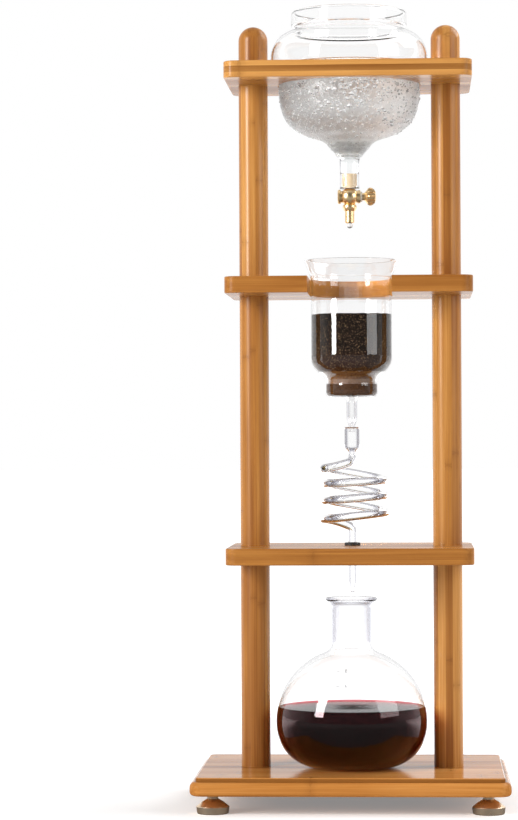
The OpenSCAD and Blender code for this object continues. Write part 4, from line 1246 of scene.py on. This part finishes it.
@dataclass
class Flask:
    """The serving flask with its coffee and its measuring marks."""

    effects: Effects
    y: float = -12.0
    seat: float = 37.5
    body_d: float = 155.0
    height: float = 173.6
    waist_h: float = 47.6
    neck_d: float = 41.6
    lip_d: float = 52.6
    foot_d: float = 60.0
    wall: float = 1.8
    level: float = 61.4
    drip: Point = (1.2, 0.0)
    marks: tuple[tuple[str, float], ...] = (("8", 139.8), ("6", 125.4))

    def outline(self) -> Outline:
        """The flask's outer outline from its lip to the middle of its floor."""
        body, neck, lip, foot = (d / 2 for d in (self.body_d, self.neck_d, self.lip_d, self.foot_d))
        top, waist, up = self.seat + self.height, self.seat + self.waist_h, self.body_d / 2 - 2.5
        swing = math.degrees(math.acos((neck + 5) / body))
        end = waist + up * math.sin(math.radians(swing))
        upper = [(body * math.cos(math.radians(a)), waist + up * math.sin(math.radians(a)))
                 for a in (swing * (1 - k / 40) for k in range(1, 41))]
        lower = [(foot + (body - foot) * math.cos(a) ** 0.88, waist - self.waist_h * math.sin(a) ** 0.95)
                 for a in (math.radians(90 * k / 40) for k in range(1, 40))]
        return [
            *smooth([(lip - 0.4, top), (lip, top - 1.4), (lip - 0.5, top - 3), (neck + 1.4, top - 5.8),
                     (neck, top - 8.8), (neck, top - 13.2)]),
            *smooth([(neck, end + 9), (neck + 0.7, end + 5), (neck + 2.4, end + 1.8), upper[0]], 4)[:-1],
            *upper, *lower,
            (foot, self.seat), (foot - 4, self.seat), (foot - 6, self.seat + 0.8), (0.0, self.seat + 1.6),
        ]

    def ripple(self, p: Vector) -> Vector:
        """Moves a point of the coffee's surface on the rings that a drop has left."""
        level = (self.seat + self.level) * MM
        if p.z < level - 1e-6:
            return p
        away = math.hypot(p.x - self.drip[0] * MM, p.y - self.y * MM) / MM
        swell = 0.55 * math.cos(away / 7.5 * math.tau) * math.exp(-((away - 6) / 17) ** 2)
        edge = math.hypot(p.x, p.y - self.y * MM) / MM
        climb = 1.3 * math.exp((edge - 74.5) / 1.6)
        return p + Vector((0.0, 0.0, (swell + min(climb, 1.3)) * MM))

    def mark(self, text: str, z: float) -> None:
        """Prints a number and its line on the glass.

        Args:
            text: The number.
            z: Height of the line in millimetres.
        """
        data = bpy.data.curves.new("mark_" + text, "FONT")
        data.body = text
        data.size = 5.6 * MM
        data.extrude = 0.04 * MM
        data.align_x, data.align_y = "CENTER", "CENTER"
        source = bpy.data.objects.new("mark_" + text, data)
        bpy.context.scene.collection.objects.link(source)
        mesh = bpy.data.meshes.new_from_object(source.evaluated_get(bpy.context.evaluated_depsgraph_get()))
        bpy.data.objects.remove(source)
        bm = bmesh.new()
        bm.from_mesh(mesh)
        bpy.data.meshes.remove(mesh)
        line = bmesh.ops.create_cube(bm, size=1.0)["verts"]
        bmesh.ops.scale(bm, verts=line, vec=(4.2 * MM, 0.55 * MM, 0.08 * MM))
        bmesh.ops.translate(bm, verts=line, vec=(-8.2 * MM, 0.0, 0.0))
        bmesh.ops.subdivide_edges(bm, edges=bm.edges, cuts=2)
        outer = self.outline()
        for v in bm.verts:
            x, rise, out = v.co.x - 4.2 * MM, v.co.y, v.co.z + 0.03 * MM
            height = z * MM + rise
            r = radius_at(outer, height / MM) * MM + out
            v.co = Vector((x, self.y * MM - math.sqrt(max(r * r - x * x, 0.0)), height))
        bmesh.ops.recalc_face_normals(bm, faces=bm.faces)
        made = finish_mesh("mark_" + text, bm, smooth_faces=False)
        place_piece(made, Soft("mark_ink", 0.5, (0.15, 0.15, 0.16), (0.10, 0.10, 0.11)).make(self.effects), "flask")

    def build(self) -> None:
        """Builds the flask, its coffee and its marks."""
        centre = (0.0, self.y)
        outer = self.outline()
        shell = lathe("flask_glass", [*outer, *reversed(inset(outer, self.wall))], centre, 160)
        neck_z = self.seat + self.waist_h + self.body_d / 2
        glass = Glass("flask_glass", ior=1.38, edge_start=0.80, thin=(neck_z - 12, neck_z + 4, 0.2))
        place_piece(shell, glass.make(self.effects), "flask", ("serving_flask",))
        lap = inset(outer, self.wall - 0.12)
        level = self.seat + self.level
        rim = radius_at(lap, level)
        top = [(rim * i / 90, level) for i in range(90)]
        side = [p for p in lap if p[1] < level]
        coffee = lathe("flask_coffee", [*top, (rim, level), *side], centre, 160, self.ripple)
        brew = Liquid("flask_coffee", ior=1.06, tint=(0.78, 0.28, 0.31), shade=(0.60, 0.19, 0.21),
                      absorbs=(0.72, 0.07, 0.10), density=190.0)
        place_piece(coffee, brew.make(self.effects), "flask", ("brewed_coffee",))
        for text, z in self.marks:
            self.mark(text, z)


def main() -> None:
    """Builds the room and the tower, sub-assembly by sub-assembly."""
    logging.basicConfig(level=logging.INFO, format="%(name)s: %(message)s")
    Studio().build()
    effects = Effects()
    for assembly in (BambooFrame, WaterJar, DripTap, Beaker, CoolingCoil, Flask):
        assembly(effects).build()
        LOG.info("%s done", assembly.__name__)


if __name__ == "__main__":
    main()
